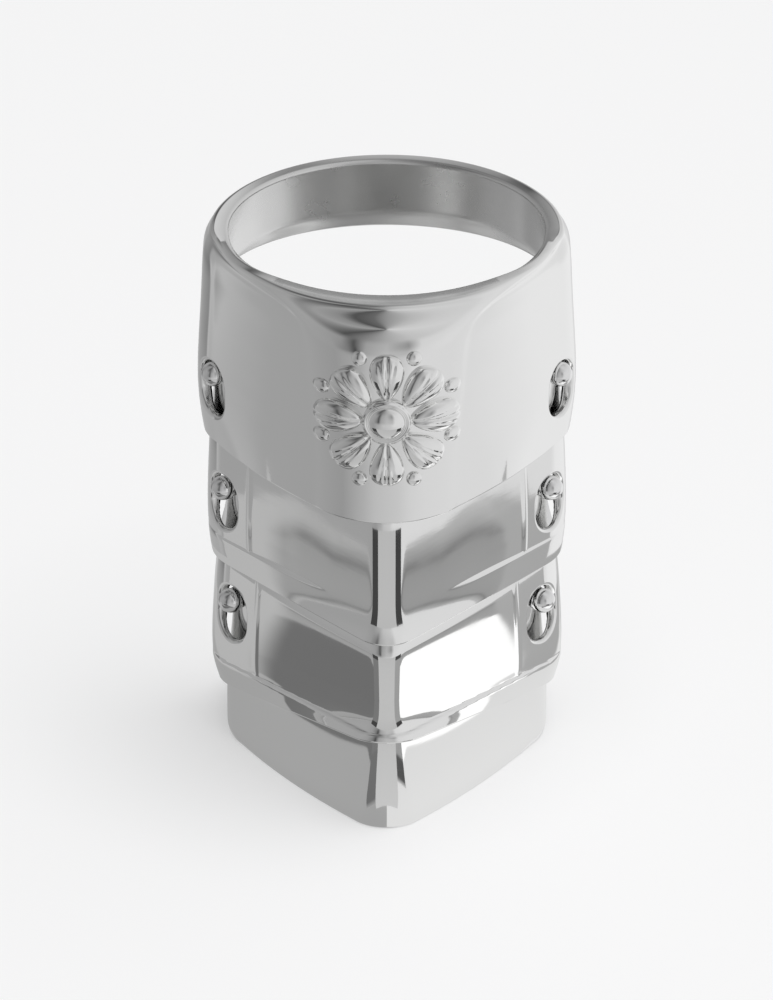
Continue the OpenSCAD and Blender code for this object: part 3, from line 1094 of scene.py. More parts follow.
@dataclass
class Bell(PlateForm):
    """A plate that tucks into the one above it: the second, third or end plate.

    Attributes:
        table: Its rows, from the top down.
        width: Width over the shoulders.
        keel: Reach of the keel in front of the finger axis.
        narrow: How far each side narrows in the tuck.
        keel_narrow: How far the keel draws back in the tuck.
        curl: How far the lip curls in at the sides.
        keel_curl: The same at the keel.
        lip_r: Radius of the keel at the lip.
        widest: Distance behind the finger axis where it is widest.
        bow: Bow of its faces.
        tuck_bow: Bow of the faces in the tuck.
        shoulder: Radius of its shoulders.
        tuck_shoulder: The same in the tuck.
        step_up: Rise of the tuck at the keel.
        foot_bow: Bow added towards the lip.
        back_band: Height of its band behind the finger, or 0 for an open back.
    """

    table: Array
    width: float = 22.0
    keel: float = 13.5
    narrow: float = 0.65
    keel_narrow: float = 1.6
    curl: float = 0.25
    keel_curl: float = 0.45
    lip_r: float = 3.0
    widest: float = SIDE_END
    bow: float = FACE_BOW
    tuck_bow: float = FACE_BOW
    shoulder: float = SHOULDER_R
    tuck_shoulder: float = 2.7
    step_up: float = 0.0
    foot_bow: float = 0.0
    back_band: float = 0.0

    def plan_at(self, row: Array) -> Array:
        """Outline numbers of a row of the table."""
        share, narrow, keel, curl, soft, _ = row
        half = self.width / 2 - self.narrow * narrow - self.curl * curl
        bow = lerp(self.bow, self.tuck_bow, narrow) + self.foot_bow * max(0.0, 1.0 - share)
        return np.array([
            half, self.widest, self.width / 2 - self.widest - self.curl * curl,
            self.keel - self.keel_narrow * keel - self.keel_curl * curl,
            lerp(KEEL_R, self.lip_r, soft), lerp(self.shoulder, self.tuck_shoulder, narrow),
            SHOULDER_FWD, bow])

    def lattice(self, carve: Optional[Callable] = None) -> Lattice:
        """Sample the wall."""
        table = self.table[::-1]
        rows = np.array([self.plan_at(r) for r in table])
        share = table[:, 0]
        heights = self.z + self.shown * np.minimum(share, 1) + self.tuck * np.maximum(share - 1, 0)
        tuck_rise = np.interp(share, [0, 1, 1.3, 2], [0, 1, 1, 0])
        rises = self.rise * np.maximum(0, 1 - share) + self.step_up * tuck_rise
        walls = lerp(LIP_T, WALL, table[:, 5])
        return make_lattice(rows, heights, rises, walls, self.wave, carve)

    def _open_border(self, shape: Lattice, columns: Array, side: Array) -> list[Edge]:
        """Border of a plate whose back is open, from the side view of its upper right end."""
        upright = upright_run(self.z + LOW_R, self.z + self.shown + self.tuck - SIDE_R, 36)
        run = side_run(shape, np.concatenate([self.low_corner(), upright, side]))
        lower = front_run(run[0, 0], self.z + LIP_UP, columns)
        upper = front_run(run[-1, 0], self.z + self.shown + self.tuck - EDGE_R, columns)[::-1]
        return [Edge(np.concatenate([lower, run[1:-1], upper, mirror_run(run)[1:-1]]), EDGE_R)]

    def _band_border(self, shape: Lattice, columns: Array, side: Array) -> list[Edge]:
        """Borders of a plate with a low band behind the finger, below and above."""
        high = self.z + self.shown + self.tuck
        notch = corner(SIDE_END + SIDE_R, self.back_band + SIDE_R, SIDE_R + EDGE_R, 270, 180)
        upright = upright_run(self.back_band + SIDE_R, high - SIDE_R, 24)
        run = side_run(shape, np.concatenate([notch, upright, side]))
        rear = level_run(np.linspace(SPAN, run[0, 0], REAR_STEPS)[:-1], self.back_band - EDGE_R)
        right = np.concatenate([rear, run])
        across = front_run(run[-1, 0], high - EDGE_R, columns)[::-1]
        upper = np.concatenate([right, across[1:-1], mirror_run(right)])
        return [Edge(front_run(SPAN, self.z + LIP_UP, columns), RIM_ROUND), Edge(upper, EDGE_R)]

    def build(
        self, slot: Optional[PinPlace], slot_z: float, carried: PinPlace, carve: Optional[Callable] = None
    ) -> bpy.types.Object:
        """Make the plate.

        Args:
            slot: Pin line of its own slots, or None.
            slot_z: Height of the slots' middle.
            carried: The pins that it carries.
            carve: Fine relief of its outside.

        Returns:
            The plate's object.
        """
        shape, columns = self.lattice(carve), self.columns()
        high = self.z + self.shown + self.tuck
        side = corner(SIDE_END - SIDE_R, high - SIDE_R, SIDE_R - EDGE_R, 0, 90)
        border = self._band_border if self.back_band else self._open_border
        holes = holes_at(shape, carried, carried.z, round_hole(PIN_HOLE_R + HOLE_EDGE_R), HOLE_EDGE_R)
        if slot is not None:
            holes += slots_at(shape, slot, slot_z)
        rows = graded([
            (self.z, 0.09), (self.z + 0.35 * self.shown, 0.13), (self.z + 0.6 * self.shown, 0.22),
            (high, 0.26)])
        return self.make(Wall(shape, border(shape, columns, side), holes, columns, rows))


# Where the relief starts and ends: round from the keel in millimetres, and up the face as shares of it
CREASE_SPREAD = 1.35
FACE_FROM, FACE_RUN = 4.0, 4.0
SIDE_FROM, SIDE_RUN = 13.5, 3.5
FADE_RUN = 0.62
RIDGE_RUN = 0.3


@dataclass
class Relief:
    """Fine relief of a tucked plate's face: a crease over its lip, and a ridge beside each shoulder.

    Attributes:
        form: The plate.
        depth: Depth of the face behind the lip, at the sides.
        keel_depth: The same at the keel.
        side_up: Height of the crease over the lip's edge, at the sides.
        keel_up: The same at the keel.
        ridge_at: Distance of the ridge round from the keel.
        ridge_h: Height of the ridge.
        ridge_w: Width of the ridge.
        crease_w: Height over which the crease steps in.
        groove: Depth of the fine groove along the crease, as a share of the crease's depth.
        groove_w: Width of the groove.
    """

    form: Bell
    depth: float
    keel_depth: float
    side_up: float
    keel_up: float
    ridge_at: float
    ridge_h: float = 0.03
    ridge_w: float = 0.13
    crease_w: float = 0.16
    groove: float = 0.27
    groove_w: float = 0.07

    def __call__(self, around: Array, height: Array) -> Array:
        """Give the distance that the face is pushed in."""
        off_keel = np.abs(around)
        out = np.clip(off_keel / FRONT_SPAN * CREASE_SPREAD, 0.0, 1.0)
        over = height - self.form.z - lerp(self.keel_up, self.side_up, out)
        step = smooth(over / self.crease_w)
        up = (height - self.form.z) / self.form.shown
        fade = np.clip((1.0 - up) / FADE_RUN, 0.0, 1.0)
        sides = 1.0 - smooth((off_keel - SIDE_FROM) / SIDE_RUN)
        depth = lerp(self.keel_depth, self.depth, smooth((off_keel - FACE_FROM) / FACE_RUN))
        line = self.groove * depth * np.exp(-(over / self.groove_w) ** 2) * sides
        ridge = self.ridge_h * np.exp(-(((off_keel - self.ridge_at) / self.ridge_w) ** 2))
        return line + depth * step * fade * sides - ridge * step * (1.0 - smooth((up - 1.0) / RIDGE_RUN))


@dataclass
class Top(PlateForm):
    """The top plate: round finger band above, keeled shield in front.

    Attributes:
        width: Width over the shoulders.
        keel: Reach of the keel in front of the finger axis.
        keel_r: Radius of the keel.
        band: Height of the band behind the finger.
        bore: Depths below the rim between which the inside becomes the round bore.
        lip_from: Share of the height below which the lip starts.
        lip_bow: Bow that keeps the faces level where the lip curls in, as a share of the curl.
    """

    width: float = 22.9
    keel: float = 13.5
    keel_r: float = 5.2
    band: float = 4.5
    bore: tuple = (5.0, 3.2)
    lip_from: float = 0.75
    lip_bow: float = 0.5

    def plan_at(self, row: Array) -> Array:
        """Outline numbers of a row of the table."""
        down, spread, keel, soft, _ = row
        share = min(1.0, keel)
        tucked = (1.0 - spread) * (self.width / 2 - RIM_R) if down > self.lip_from else 0.0
        return np.array([
            lerp(RIM_R, self.width / 2, spread), BACK_SHIFT * share, RIM_R - BACK_SHIFT * share,
            lerp(RIM_R, self.keel, keel), lerp(self.keel_r, RIM_R, soft), SHOULDER_R,
            SHOULDER_FWD * share, FACE_BOW + self.lip_bow * tucked])

    def lattice(self) -> Lattice:
        """Sample the wall."""
        table = TOP_ROWS[::-1]
        rows = np.array([self.plan_at(r) for r in table])
        heights = TOTAL_H - table[:, 0] * self.shown
        walls = lerp(LIP_T, WALL, table[:, 4])
        bore = tuple(TOTAL_H - down for down in self.bore)
        return make_lattice(rows, heights, np.zeros(len(rows)), walls, self.wave, None, bore)

    def build(self, slot: PinPlace, slot_z: float) -> bpy.types.Object:
        """Make the plate's object."""
        shape, columns = self.lattice(), self.columns()
        band = TOTAL_H - self.band
        notch = corner(SIDE_END + SIDE_R, band - SIDE_R, SIDE_R + EDGE_R, 180, 90)
        upright = upright_run(self.z + LOW_R, band - SIDE_R, 10)
        run = side_run(shape, np.concatenate([self.low_corner(), upright, notch]))
        rear = level_run(np.linspace(run[-1, 0], SPAN, REAR_STEPS)[1:], band + EDGE_R)
        right = np.concatenate([run[1:], rear])
        front = front_run(run[0, 0], self.z + LIP_UP, columns)
        lower = np.concatenate([mirror_run(right), front, right])
        upper = front_run(SPAN, TOTAL_H - RIM_ROUND, columns)[::-1]
        rows = graded([
            (self.z, 0.09), (self.z + 3.0, 0.14), (self.z + 5.0, 0.24), (TOTAL_H - 3.0, 0.2),
            (TOTAL_H - 1.0, 0.09), (TOTAL_H, 0.09)])
        borders = [Edge(lower, EDGE_R), Edge(upper, RIM_ROUND)]
        return self.make(Wall(shape, borders, slots_at(shape, slot, slot_z), columns, rows))


# Pins


@dataclass
class Pin:
    """A ball-headed pin.

    Attributes:
        name: Name of the pin's object and of its node in the frame.
        body: Body that it rides on.
        place: Its pin line.
        side: The side of the ring that it is on.
        radius: Radius of the shank.
        ball_r: Radius of the ball.
        proud: How far the ball stands out of the plate that it rides in.
        inset: Distance of the shank's inner end from the inside of the plate that carries it.
        bevel: Bevel of the shank's inner end.
        waist: How much slimmer than the shank the ball is where it meets it.
        neck: Length of the taper there.
        turns: Points round it.
    """

    name: str
    body: str
    place: PinPlace
    side: Side
    radius: float = 0.7
    ball_r: float = 0.76
    proud: float = 0.5
    inset: float = 0.1
    bevel: float = 0.08
    waist: float = 0.06
    neck: float = 0.1
    turns: int = 48

    def build(self) -> bpy.types.Object:
        """Turn the pin's profile round its axis."""
        base, head = self.inset - self.place.depth, self.proud - self.ball_r
        turns = self.turns
        low = math.acos((self.radius - self.waist) / self.ball_r)
        ball = np.linspace(-low, math.pi / 2, 24)
        profile = [(self.radius - self.bevel, base), (self.radius, base + self.bevel)]
        profile += [(self.radius, head - self.ball_r * math.sin(low) - self.neck)]
        profile += [(self.ball_r * math.cos(t), head + self.ball_r * math.sin(t)) for t in ball[:-1]]
        axis, middle = self.place.axis(), self.place.origin()
        level = np.array([axis[1], -axis[0], 0.0])
        up = np.array([0.0, 0.0, 1.0])
        angles = np.linspace(0, 2 * math.pi, turns, endpoint=False)
        points = []
        ring = np.cos(angles)[:, None] * level + np.sin(angles)[:, None] * up
        for r, h in profile:
            points.append(middle + axis * h + ring * r)
        n = len(points)
        points = np.concatenate(points + [[middle + axis * base], [middle + axis * (head + self.ball_r)]])
        quads, tris = [], []
        for k in range(n - 1):
            for j in range(turns):
                a, b = k * turns + j, k * turns + (j + 1) % turns
                quads.append((a, b, b + turns, a + turns))
        for j in range(turns):
            a, b = j, (j + 1) % turns
            tris.append((b, a, n * turns))
            tris.append(((n - 1) * turns + a, (n - 1) * turns + b, n * turns + 1))
        if self.side is Side.RIGHT:
            points[:, 0] *= -1
            quads = [q[::-1] for q in quads]
            tris = [t[::-1] for t in tris]
        obj = mesh_object(self.name, points, [np.array(tris), np.array(quads)])
        tidy_normals(obj)
        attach(obj, self.body)
        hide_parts(self.name)
        return obj


# Rosette


def dome(
    name: str,
    outline: Callable[[Array], Array],
    height: Callable[[Array, Array], Array],
    rings: int,
    turns: int,
    skirt: float,
) -> bpy.types.Object:
    """Make a closed dome over a plan, with a skirt that sinks into the metal below.

    Args:
        name: Name of the object.
        outline: Gives the plan's edge, as x and y, from angles.
        height: Gives the height from a share of the way out and the points there.
        rings: Rings from the middle out.
        turns: Points in each ring.
        skirt: Depth of the skirt.

    Returns:
        The dome's object.
    """
    angles = np.linspace(0, 2 * math.pi, turns, endpoint=False)
    edge = outline(angles)
    points = [np.array([[0.0, 0.0, float(height(np.zeros(1), np.zeros((1, 2)))[0])]])]
    for share in np.sin(np.linspace(0, math.pi / 2, rings + 1))[1:]:
        flat = edge * share
        points.append(np.concatenate([flat, height(np.full(turns, share), flat)[:, None]], -1))
    points.append(np.concatenate([edge, np.full((turns, 1), -skirt)], -1))
    points.append(np.array([[0.0, 0.0, -skirt]]))
    flat_points = np.concatenate(points)
    k = np.arange(turns)
    after = (k + 1) % turns
    last = 1 + (rings + 1) * turns
    tris = np.concatenate([
        np.stack([np.zeros_like(k), 1 + k, 1 + after], -1),
        np.stack([np.full_like(k, last), last - turns + after, last - turns + k], -1)])
    quads = []
    for ring in range(rings):
        a = 1 + ring * turns
        quads.append(np.stack([a + k, a + turns + k, a + turns + after, a + after], -1))
    return mesh_object(name, flat_points, [tris, np.concatenate(quads)])


@dataclass
class Rosette:
    """Eight petals and beads round a domed eye, raised on the front of the top plate.

    Attributes:
        diameter: Diameter over the beads.
        petals: Number of petals.
        down: Distance of the middle below the rim.
        eye: Radius of the domed eye.
        bead: Radius of a bead, as a share of the diameter.
        reach: Columns of the lattice on either side of the keel that it may cover.
    """

    diameter: float = 9.2
    petals: int = 8
    down: float = 6.4
    eye: float = 1.5
    bead: float = 0.05
    reach: int = 320

    def _parts(self) -> tuple:
        """Make the petal, the bead and the eye, lying flat."""
        long, wide = self.diameter * 0.15, self.diameter * 0.105
        bead = self.bead * self.diameter

        def petal_edge(t: Array) -> Array:
            """Leaf with a rounded outer end and a slender inner end."""
            return np.stack([long * np.cos(t), wide * np.sin(t) * (1.0 + 0.32 * np.cos(t))], -1)

        def petal_rise(share: Array, flat: Array) -> Array:
            """Rounded leaf with a groove along its middle and two finer veins."""
            vein = 0.16 * np.exp(-(flat[:, 1] / 0.09) ** 2)
            fork = 0.06 * np.exp(-((np.abs(flat[:, 1]) - 0.26 - 0.18 * flat[:, 0]) / 0.06) ** 2)
            rise = np.sqrt(np.maximum(0.0, 1.0 - share ** 2.4))
            return 0.12 + rise * (0.62 + 0.1 * flat[:, 0] / long) - (vein + fork) * rise ** 0.5

        def ball_edge(t: Array) -> Array:
            """Circle of a bead."""
            return np.stack([bead * np.cos(t), bead * np.sin(t)], -1)

        def ball_rise(share: Array, flat: Array) -> Array:
            """Round top of a bead."""
            return 0.3 * np.sqrt(np.maximum(0.0, 1.0 - share ** 2)) + 0.01

        def eye_edge(t: Array) -> Array:
            """Circle of the eye."""
            return np.stack([self.eye * np.cos(t), self.eye * np.sin(t)], -1) * 0.92

        def eye_rise(share: Array, flat: Array) -> Array:
            """Domed eye inside a low collar."""
            collar = 0.2 * np.exp(-((share - 0.86) / 0.09) ** 2)
            top = np.sqrt(np.maximum(0.0, 1.0 - np.minimum(1.0, share / 0.74) ** 2))
            return 0.3 + 0.58 * top + collar

        return (
            dome("petal", petal_edge, petal_rise, 18, 64, 0.35),
            dome("bead", ball_edge, ball_rise, 8, 24, 0.3),
            dome("rosette", eye_edge, eye_rise, 36, 72, 0.35))

    def _tree(self, material: bpy.types.Material) -> bpy.types.NodeTree:
        """Make the tree that sets petals and beads in rings round the eye."""
        tree = bpy.data.node_groups.new("rosette_rings", "GeometryNodeTree")
        face = tree.interface
        face.new_socket("Geometry", in_out="INPUT", socket_type="NodeSocketGeometry")
        for name, kind in (("Petals", "Int"), ("Petal Ring", "Float"), ("Bead Ring", "Float"),
                           ("Petal", "Object"), ("Bead", "Object")):
            face.new_socket(name, in_out="INPUT", socket_type="NodeSocket" + kind)
        face.new_socket("Geometry", in_out="OUTPUT", socket_type="NodeSocketGeometry")
        make = Nodes(tree)
        given, result = make.add("NodeGroupInput").outputs, make.add("NodeGroupOutput")
        join = make.add("GeometryNodeJoinGeometry", {0: given["Geometry"]})
        step = make.math("DIVIDE", 2 * math.pi, given["Petals"])
        for piece, offset in (("Petal", 0.0), ("Bead", 0.5)):
            circle = make.add("GeometryNodeMeshCircle", {
                "Vertices": given["Petals"], "Radius": given[piece + " Ring"]})
            turn = make.add("ShaderNodeCombineXYZ", {"Z": make.math("MULTIPLY", step, offset)})
            index = make.add("GeometryNodeInputIndex").outputs[0]
            each = make.add("ShaderNodeCombineXYZ", {"Z": make.math("MULTIPLY", index, step)})
            info = make.add("GeometryNodeObjectInfo", {"Object": given[piece]})
            place = make.add("GeometryNodeInstanceOnPoints", {
                "Points": circle.outputs["Mesh"], "Instance": info.outputs["Geometry"],
                "Rotation": each.outputs[0]})
            move = make.add("GeometryNodeTransform", {
                "Geometry": place.outputs["Instances"], "Rotation": turn.outputs[0]})
            make.feed(join, 0, move.outputs["Geometry"])
        real = make.add("GeometryNodeRealizeInstances", {0: join.outputs[0]})
        dress = make.add("GeometryNodeSetMaterial", {"Material": material, "Geometry": real.outputs[0]})
        make.feed(result, 0, dress.outputs[0])
        return tree

    def build(self, shape: Lattice, material: bpy.types.Material) -> bpy.types.Object:
        """Make the rosette and lay it on the plate.

        Args:
            shape: The top plate's lattice.
            material: The plates' silver.

        Returns:
            The rosette's object.
        """
        petal, bead, base = self._parts()
        tree = self._tree(material)
        modifier = base.modifiers.new("rings", "NODES")
        modifier.node_group = tree
        values = {
            "Petals": self.petals,
            "Petal Ring": self.diameter * 0.3 * MM,
            "Bead Ring": (self.diameter / 2 - self.bead * self.diameter) * MM,
            "Petal": petal,
            "Bead": bead}
        for item in tree.interface.items_tree:
            if item.item_type == "SOCKET" and item.in_out == "INPUT" and item.name in values:
                modifier[item.identifier] = values[item.name]
        seen = bpy.context.evaluated_depsgraph_get()
        mesh = bpy.data.meshes.new_from_object(base.evaluated_get(seen))
        for obj in (petal, bead, base):
            bpy.data.objects.remove(obj)
        flat = np.empty(len(mesh.vertices) * 3, np.float32)
        mesh.vertices.foreach_get("co", flat)
        flat = flat.reshape(-1, 3) / MM
        side, up, rise = -flat[:, 1], flat[:, 0], flat[:, 2]
        heights = TOTAL_H - self.down + up
        rows = np.clip(((heights - shape.low) / RISE_STEP).round().astype(int), 0, len(shape.outer) - 1)
        middle = shape.outer.shape[1] // 2
        sideways = shape.outer[:, middle : middle + self.reach, 0]
        arc = np.arange(self.reach) * STEP
        around = np.array([
            math.copysign(np.interp(abs(x), sideways[row], arc), x) for x, row in zip(side, rows)])
        placed = shape.at(around, heights) + shape.out(around, heights) * rise[:, None]
        mesh.vertices.foreach_set("co", (placed * MM).astype(np.float32).ravel())
        mesh.update()
        mesh.polygons.foreach_set("use_smooth", np.ones(len(mesh.polygons), bool))
        mesh.name = "rosette"
        obj = bpy.data.objects.new("rosette", mesh)
        bpy.context.scene.collection.objects.link(obj)
        tidy_normals(obj)
        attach(obj, "plate_1")
        return obj


def tidy_normals(obj: bpy.types.Object) -> None:
    """Turn every face outward."""
    work = bmesh.new()
    work.from_mesh(obj.data)
    bmesh.ops.recalc_face_normals(work, faces=work.faces)
    work.to_mesh(obj.data)
    work.free()


# Studio


FLOOR_TONE = (0.5, 0.5, 0.502)
FLOOR_GLOW = 0.42
FLOOR_SIZE = 3.0
LAMP_POWER = 9.0
LAMP_SIZE = 0.9
LAMP_AT = Vector((0.15, -0.2, 1.1))

# Soft panels round the ring: elevation, then azimuth from the camera (right is positive) and light
PANELS = [
    (-60.0, [
        (-180, 0.45), (-100, 0.26), (-65, 0.36), (-20, 0.48), (0, 0.58), (20, 0.64), (80, 0.66), (100, 0.70),
        (150, 0.72), (180, 0.45)]),
    (-42.0, [
        (-180, 0.5), (-135, 0.36), (-100, 0.34), (-65, 0.40), (-20, 0.48), (0, 0.58), (20, 0.66), (80, 0.80),
        (120, 0.82), (150, 0.80), (180, 0.5)]),
    (-31.0, [
        (-180, 0.55), (-150, 0.42), (-121, 0.40), (-117, 0.43), (-110, 0.42), (-106, 0.36), (-100, 0.36),
        (-60, 0.32), (-20, 0.50), (0, 0.55), (20, 0.60), (50, 0.70), (80, 0.72), (100, 0.74), (112, 0.84),
        (150, 0.84), (180, 0.55)]),
    (-18.0, [
        (-180, 0.5), (-150, 0.28), (-124, 0.20), (-120, 0.20), (-117, 0.50), (-110, 0.38), (-101, 0.36),
        (-60, 0.32), (-30, 0.42), (-14, 0.55), (14, 0.60), (30, 0.72), (80, 0.72), (100, 0.74), (112, 0.84),
        (150, 0.88), (180, 0.5)]),
    (-3.0, [
        (-180, 0.5), (-124, 0.22), (-118, 0.38), (-90, 0.37), (-60, 0.33), (-42, 0.20), (-34, 0.06),
        (-24, 0.36), (0, 0.50), (22, 0.48), (34, 0.70), (65, 0.74), (100, 0.74), (150, 0.80), (180, 0.5)]),
    (22.0, [
        (-180, 0.42), (-120, 0.30), (-80, 0.37), (-50, 0.30), (-36, 0.08), (-22, 0.36), (0, 0.46), (24, 0.30),
        (38, 0.68), (80, 0.72), (120, 0.70), (160, 0.60), (180, 0.42)]),
    (50.0, [
        (-180, 0.3), (-165, 0.14), (-140, 0.08), (-120, 0.26), (-92, 0.34), (-70, 0.18), (-52, 0.08),
        (-22, 0.26), (0, 0.40), (35, 0.56), (80, 0.66), (120, 0.60), (150, 0.50), (180, 0.3)])]
PANEL_COOL = 1.004
BACKDROP = (0.91, 0.91, 0.912)

# Painted reflections of the table close by, with its light and shade: glowing sheets that only the metal
# mirrors.
# Fans spread from under the keel: turns from the front, then distance in millimetres and light.
FAN_APEX = -11.4
FAN_UP = 0.05
PAINTED_REFLECTION_FANS = {
    "left": (-80.0, -48.0, [
        (3.4, 0.36), (4.2, 0.16), (11.2, 0.17), (11.8, 0.19), (26.2, 0.2), (26.8, 0.06), (42.4, 0.05)]),
    "middle": (-48.0, 48.0, [(2.6, 0.6), (11.8, 0.55), (24.0, 0.52), (42.4, 0.5)]),
    "right": (48.0, 80.0, [
        (6.6, 0.6), (7.4, 0.09), (10.4, 0.09), (10.9, 0.34), (26.2, 0.36), (26.8, 0.06), (42.4, 0.05)])}

# Cards round the ring, glowing sheets that only the metal mirrors: painted reflections of the table's light
# and shade.
# Their light goes by the distance from the keel's plane plus CARD_LEAN of the distance ahead of the band's
# middle.
# Behind the shoulders, past CARD_BEYOND from the keel's plane, that gives way between the first two numbers
# of
# CARD_BEHIND to the even tone of the third. From CARD_TURN back, the outer edge is round, CARD_REAR from the
# middle
CARD_LEAN = 0.75
CARD_END = 48.2
CARD_REACH = 60.0
CARD_BEYOND = (17.0, 18.5)
CARD_GAP = 0.25
CARD_UP = 0.02
CARD_REAR = 29.0
CARD_TURN = 0.12
PAINTED_REFLECTION_CARD_STOPS = {
    Side.LEFT: [
        (0.0, 0.5), (9.0, 0.36), (21.3, 0.36), (21.6, 0.14), (32.8, 0.14), (33.2, 0.34), (41.3, 0.3),
        (42.4, 0.18), (43.6, 0.3), (45.2, 0.41), (47.2, 0.41), (48.2, 0.36), (60.0, 0.36)],
    Side.RIGHT: [
        (0.0, 0.5), (9.0, 0.76), (21.3, 0.7), (21.6, 1.05), (32.8, 1.05), (33.2, 0.32), (41.3, 0.27),
        (42.4, 0.17), (43.6, 0.28), (45.2, 0.39), (46.6, 0.42), (47.8, 0.76), (60.0, 0.76)]}
CARD_BEHIND = {Side.LEFT: (-3.2, -0.8, 0.46), Side.RIGHT: (-1.7, -1.1, 0.36)}


@dataclass
class Studio:
    """Floor, light and camera.

    Attributes:
        elevation: Camera's height angle, in degrees.
        distance: Distance from the camera to its target.
        target: What the camera looks at.
        scale: Focal length for each metre of distance, as a share of the sensor.
        sensor: Height of the sensor.
        shift: Sideways shift of the lens.
    """

    elevation: float = 27.5
    distance: float = 350.0
    target: tuple = (0.0, 0.026, 16.69)
    scale: float = 16.4
    sensor: float = 36.0
    shift: float = -0.0003

    def camera(self) -> None:
        """Put the camera at the photograph's angle."""
        data = bpy.data.cameras.new("camera")
        obj = bpy.data.objects.new("camera", data)
        bpy.context.scene.collection.objects.link(obj)
        el = math.radians(self.elevation)
        way = Vector((0.0, -math.cos(el), math.sin(el)))
        obj.location = (Vector(self.target) + way * self.distance) * MM
        obj.rotation_euler = (-way).to_track_quat("-Z", "Y").to_euler()
        data.sensor_fit = "VERTICAL"
        data.sensor_height = self.sensor
        data.lens = self.scale * self.distance * MM * self.sensor
        data.shift_x = self.shift
        data.clip_start, data.clip_end = 0.01, 10.0
        bpy.context.scene.camera = obj

    def floor(self) -> None:
        """Lay the plain pale floor, which the metal doesn't mirror."""
        bpy.ops.mesh.primitive_plane_add(size=FLOOR_SIZE, location=(0.0, 0.0, 0.0))
        obj = bpy.context.object
        obj.name = "floor"
        material, make, shader = new_material("pale_floor")
        make.feed(shader, "Base Color", (*FLOOR_TONE, 1.0))
        make.feed(shader, "Roughness", 1.0)
        make.feed(shader, "Specular IOR Level", 0.0)
        make.feed(shader, "Emission Color", (1.0, 1.0, 1.0, 1.0))
        make.feed(shader, "Emission Strength", FLOOR_GLOW)
        obj.data.materials.append(material)
        obj.visible_glossy = False

    @staticmethod
    def _glow(name: str) -> tuple:
        """Make a black glowing material for a painted reflection sheet, which only gives light, with its
        nodes and its shader.
        """
        material, make, shader = new_material(name)
        make.feed(shader, "Base Color", (0.0, 0.0, 0.0, 1.0))
        make.feed(shader, "Emission Strength", 1.0)
        return material, make, shader

    @staticmethod
    def _sheet(
        name: str, rows: int, flat: Array, height: float, material: bpy.types.Material
    ) -> bpy.types.Object:
        """Lay a glowing sheet on the floor that only the metal mirrors, as a painted reflection.

        Args:
            name: Name of the object.
            rows: Rows of points in the sheet.
            flat: The points, row by row.
            height: Height over the floor.
            material: What it is made of.

        Returns:
            The sheet's object.
        """
        count = len(flat) // rows
        k = (np.arange(rows - 1)[:, None] * count + np.arange(count - 1)).ravel()
        quads = np.stack([k, k + count, k + count + 1, k + 1], -1)
        obj = mesh_object(name, np.concatenate([flat, np.full((len(flat), 1), height)], -1), [quads])
        obj.data.materials.append(material)
        obj.visible_camera = obj.visible_diffuse = obj.visible_shadow = False
        return obj

    def fans(self) -> None:
        """Lay glowing sheets of light and dark on the floor in front of the keel, as painted reflections that
        only the metal mirrors.
        """
        material, make, shader = self._glow("fan")
        light = make.add("ShaderNodeAttribute", attribute_name="light")
        make.feed(shader, "Specular IOR Level", 0.0)
        make.feed(shader, "Emission Color", light.outputs["Color"])
        for name, (first, last, stops) in PAINTED_REFLECTION_FANS.items():
            turns = np.radians(np.linspace(first, last, 24))
            ring = np.stack([np.sin(turns), -np.cos(turns)], -1)
            flat = np.concatenate([ring * reach for reach, _ in stops]) + np.array([0.0, FAN_APEX])
            obj = self._sheet(f"fan_{name}", len(stops), flat, FAN_UP, material)
            tones = np.repeat([tone for _, tone in stops], len(turns))
            values = np.stack([tones, tones, tones, np.ones_like(tones)], -1)
            held = obj.data.attributes.new("light", "FLOAT_COLOR", "POINT")
            held.data.foreach_set("color", values.ravel())

    def card(self, side: Side) -> None:
        """Lay half a glowing card on the floor round the ring, a painted reflection that only the metal
        mirrors.

        Args:
            side: The side of the keel that it lies on.
        """
        edge = Plan.from_row(Ring().bells()[2].plan_at(END_FOOT))
        half = np.concatenate([edge.front(30), edge.rear(60)[1:]]) * np.array([-side.value, 1.0])
        inner = half + unit(half) * CARD_GAP + np.array([0.0, MIDDLE])
        inner[[0, -1], 0] = 0.0
        ahead = unit(inner)
        slant = np.abs(ahead[:, :1]) - ahead[:, 1:]
        reach = np.where(ahead[:, 1:] < CARD_TURN, (CARD_END - MIDDLE) / np.maximum(slant, 0.7), CARD_REAR)
        name = f"card_{side.name.lower()}"
        self._sheet(name, 2, np.concatenate([inner, ahead * reach]), CARD_UP, self._card_paint(name, side))

    def _card_paint(self, name: str, side: Side) -> bpy.types.Material:
        """Make the glowing material of half a card, painted with the reflected table's light and shade."""
        material, make, shader = self._glow(name)
        place = make.add("ShaderNodeTexCoord").outputs["Object"]
        parts = make.add("ShaderNodeSeparateXYZ", {0: place}).outputs
        lean = side.value * CARD_LEAN
        slant = make.math("MULTIPLY_ADD", parts["Y"], -lean, parts["X"])
        share = make.spread(slant, -lean * MIDDLE * MM, (side.value * CARD_REACH - lean * MIDDLE) * MM)
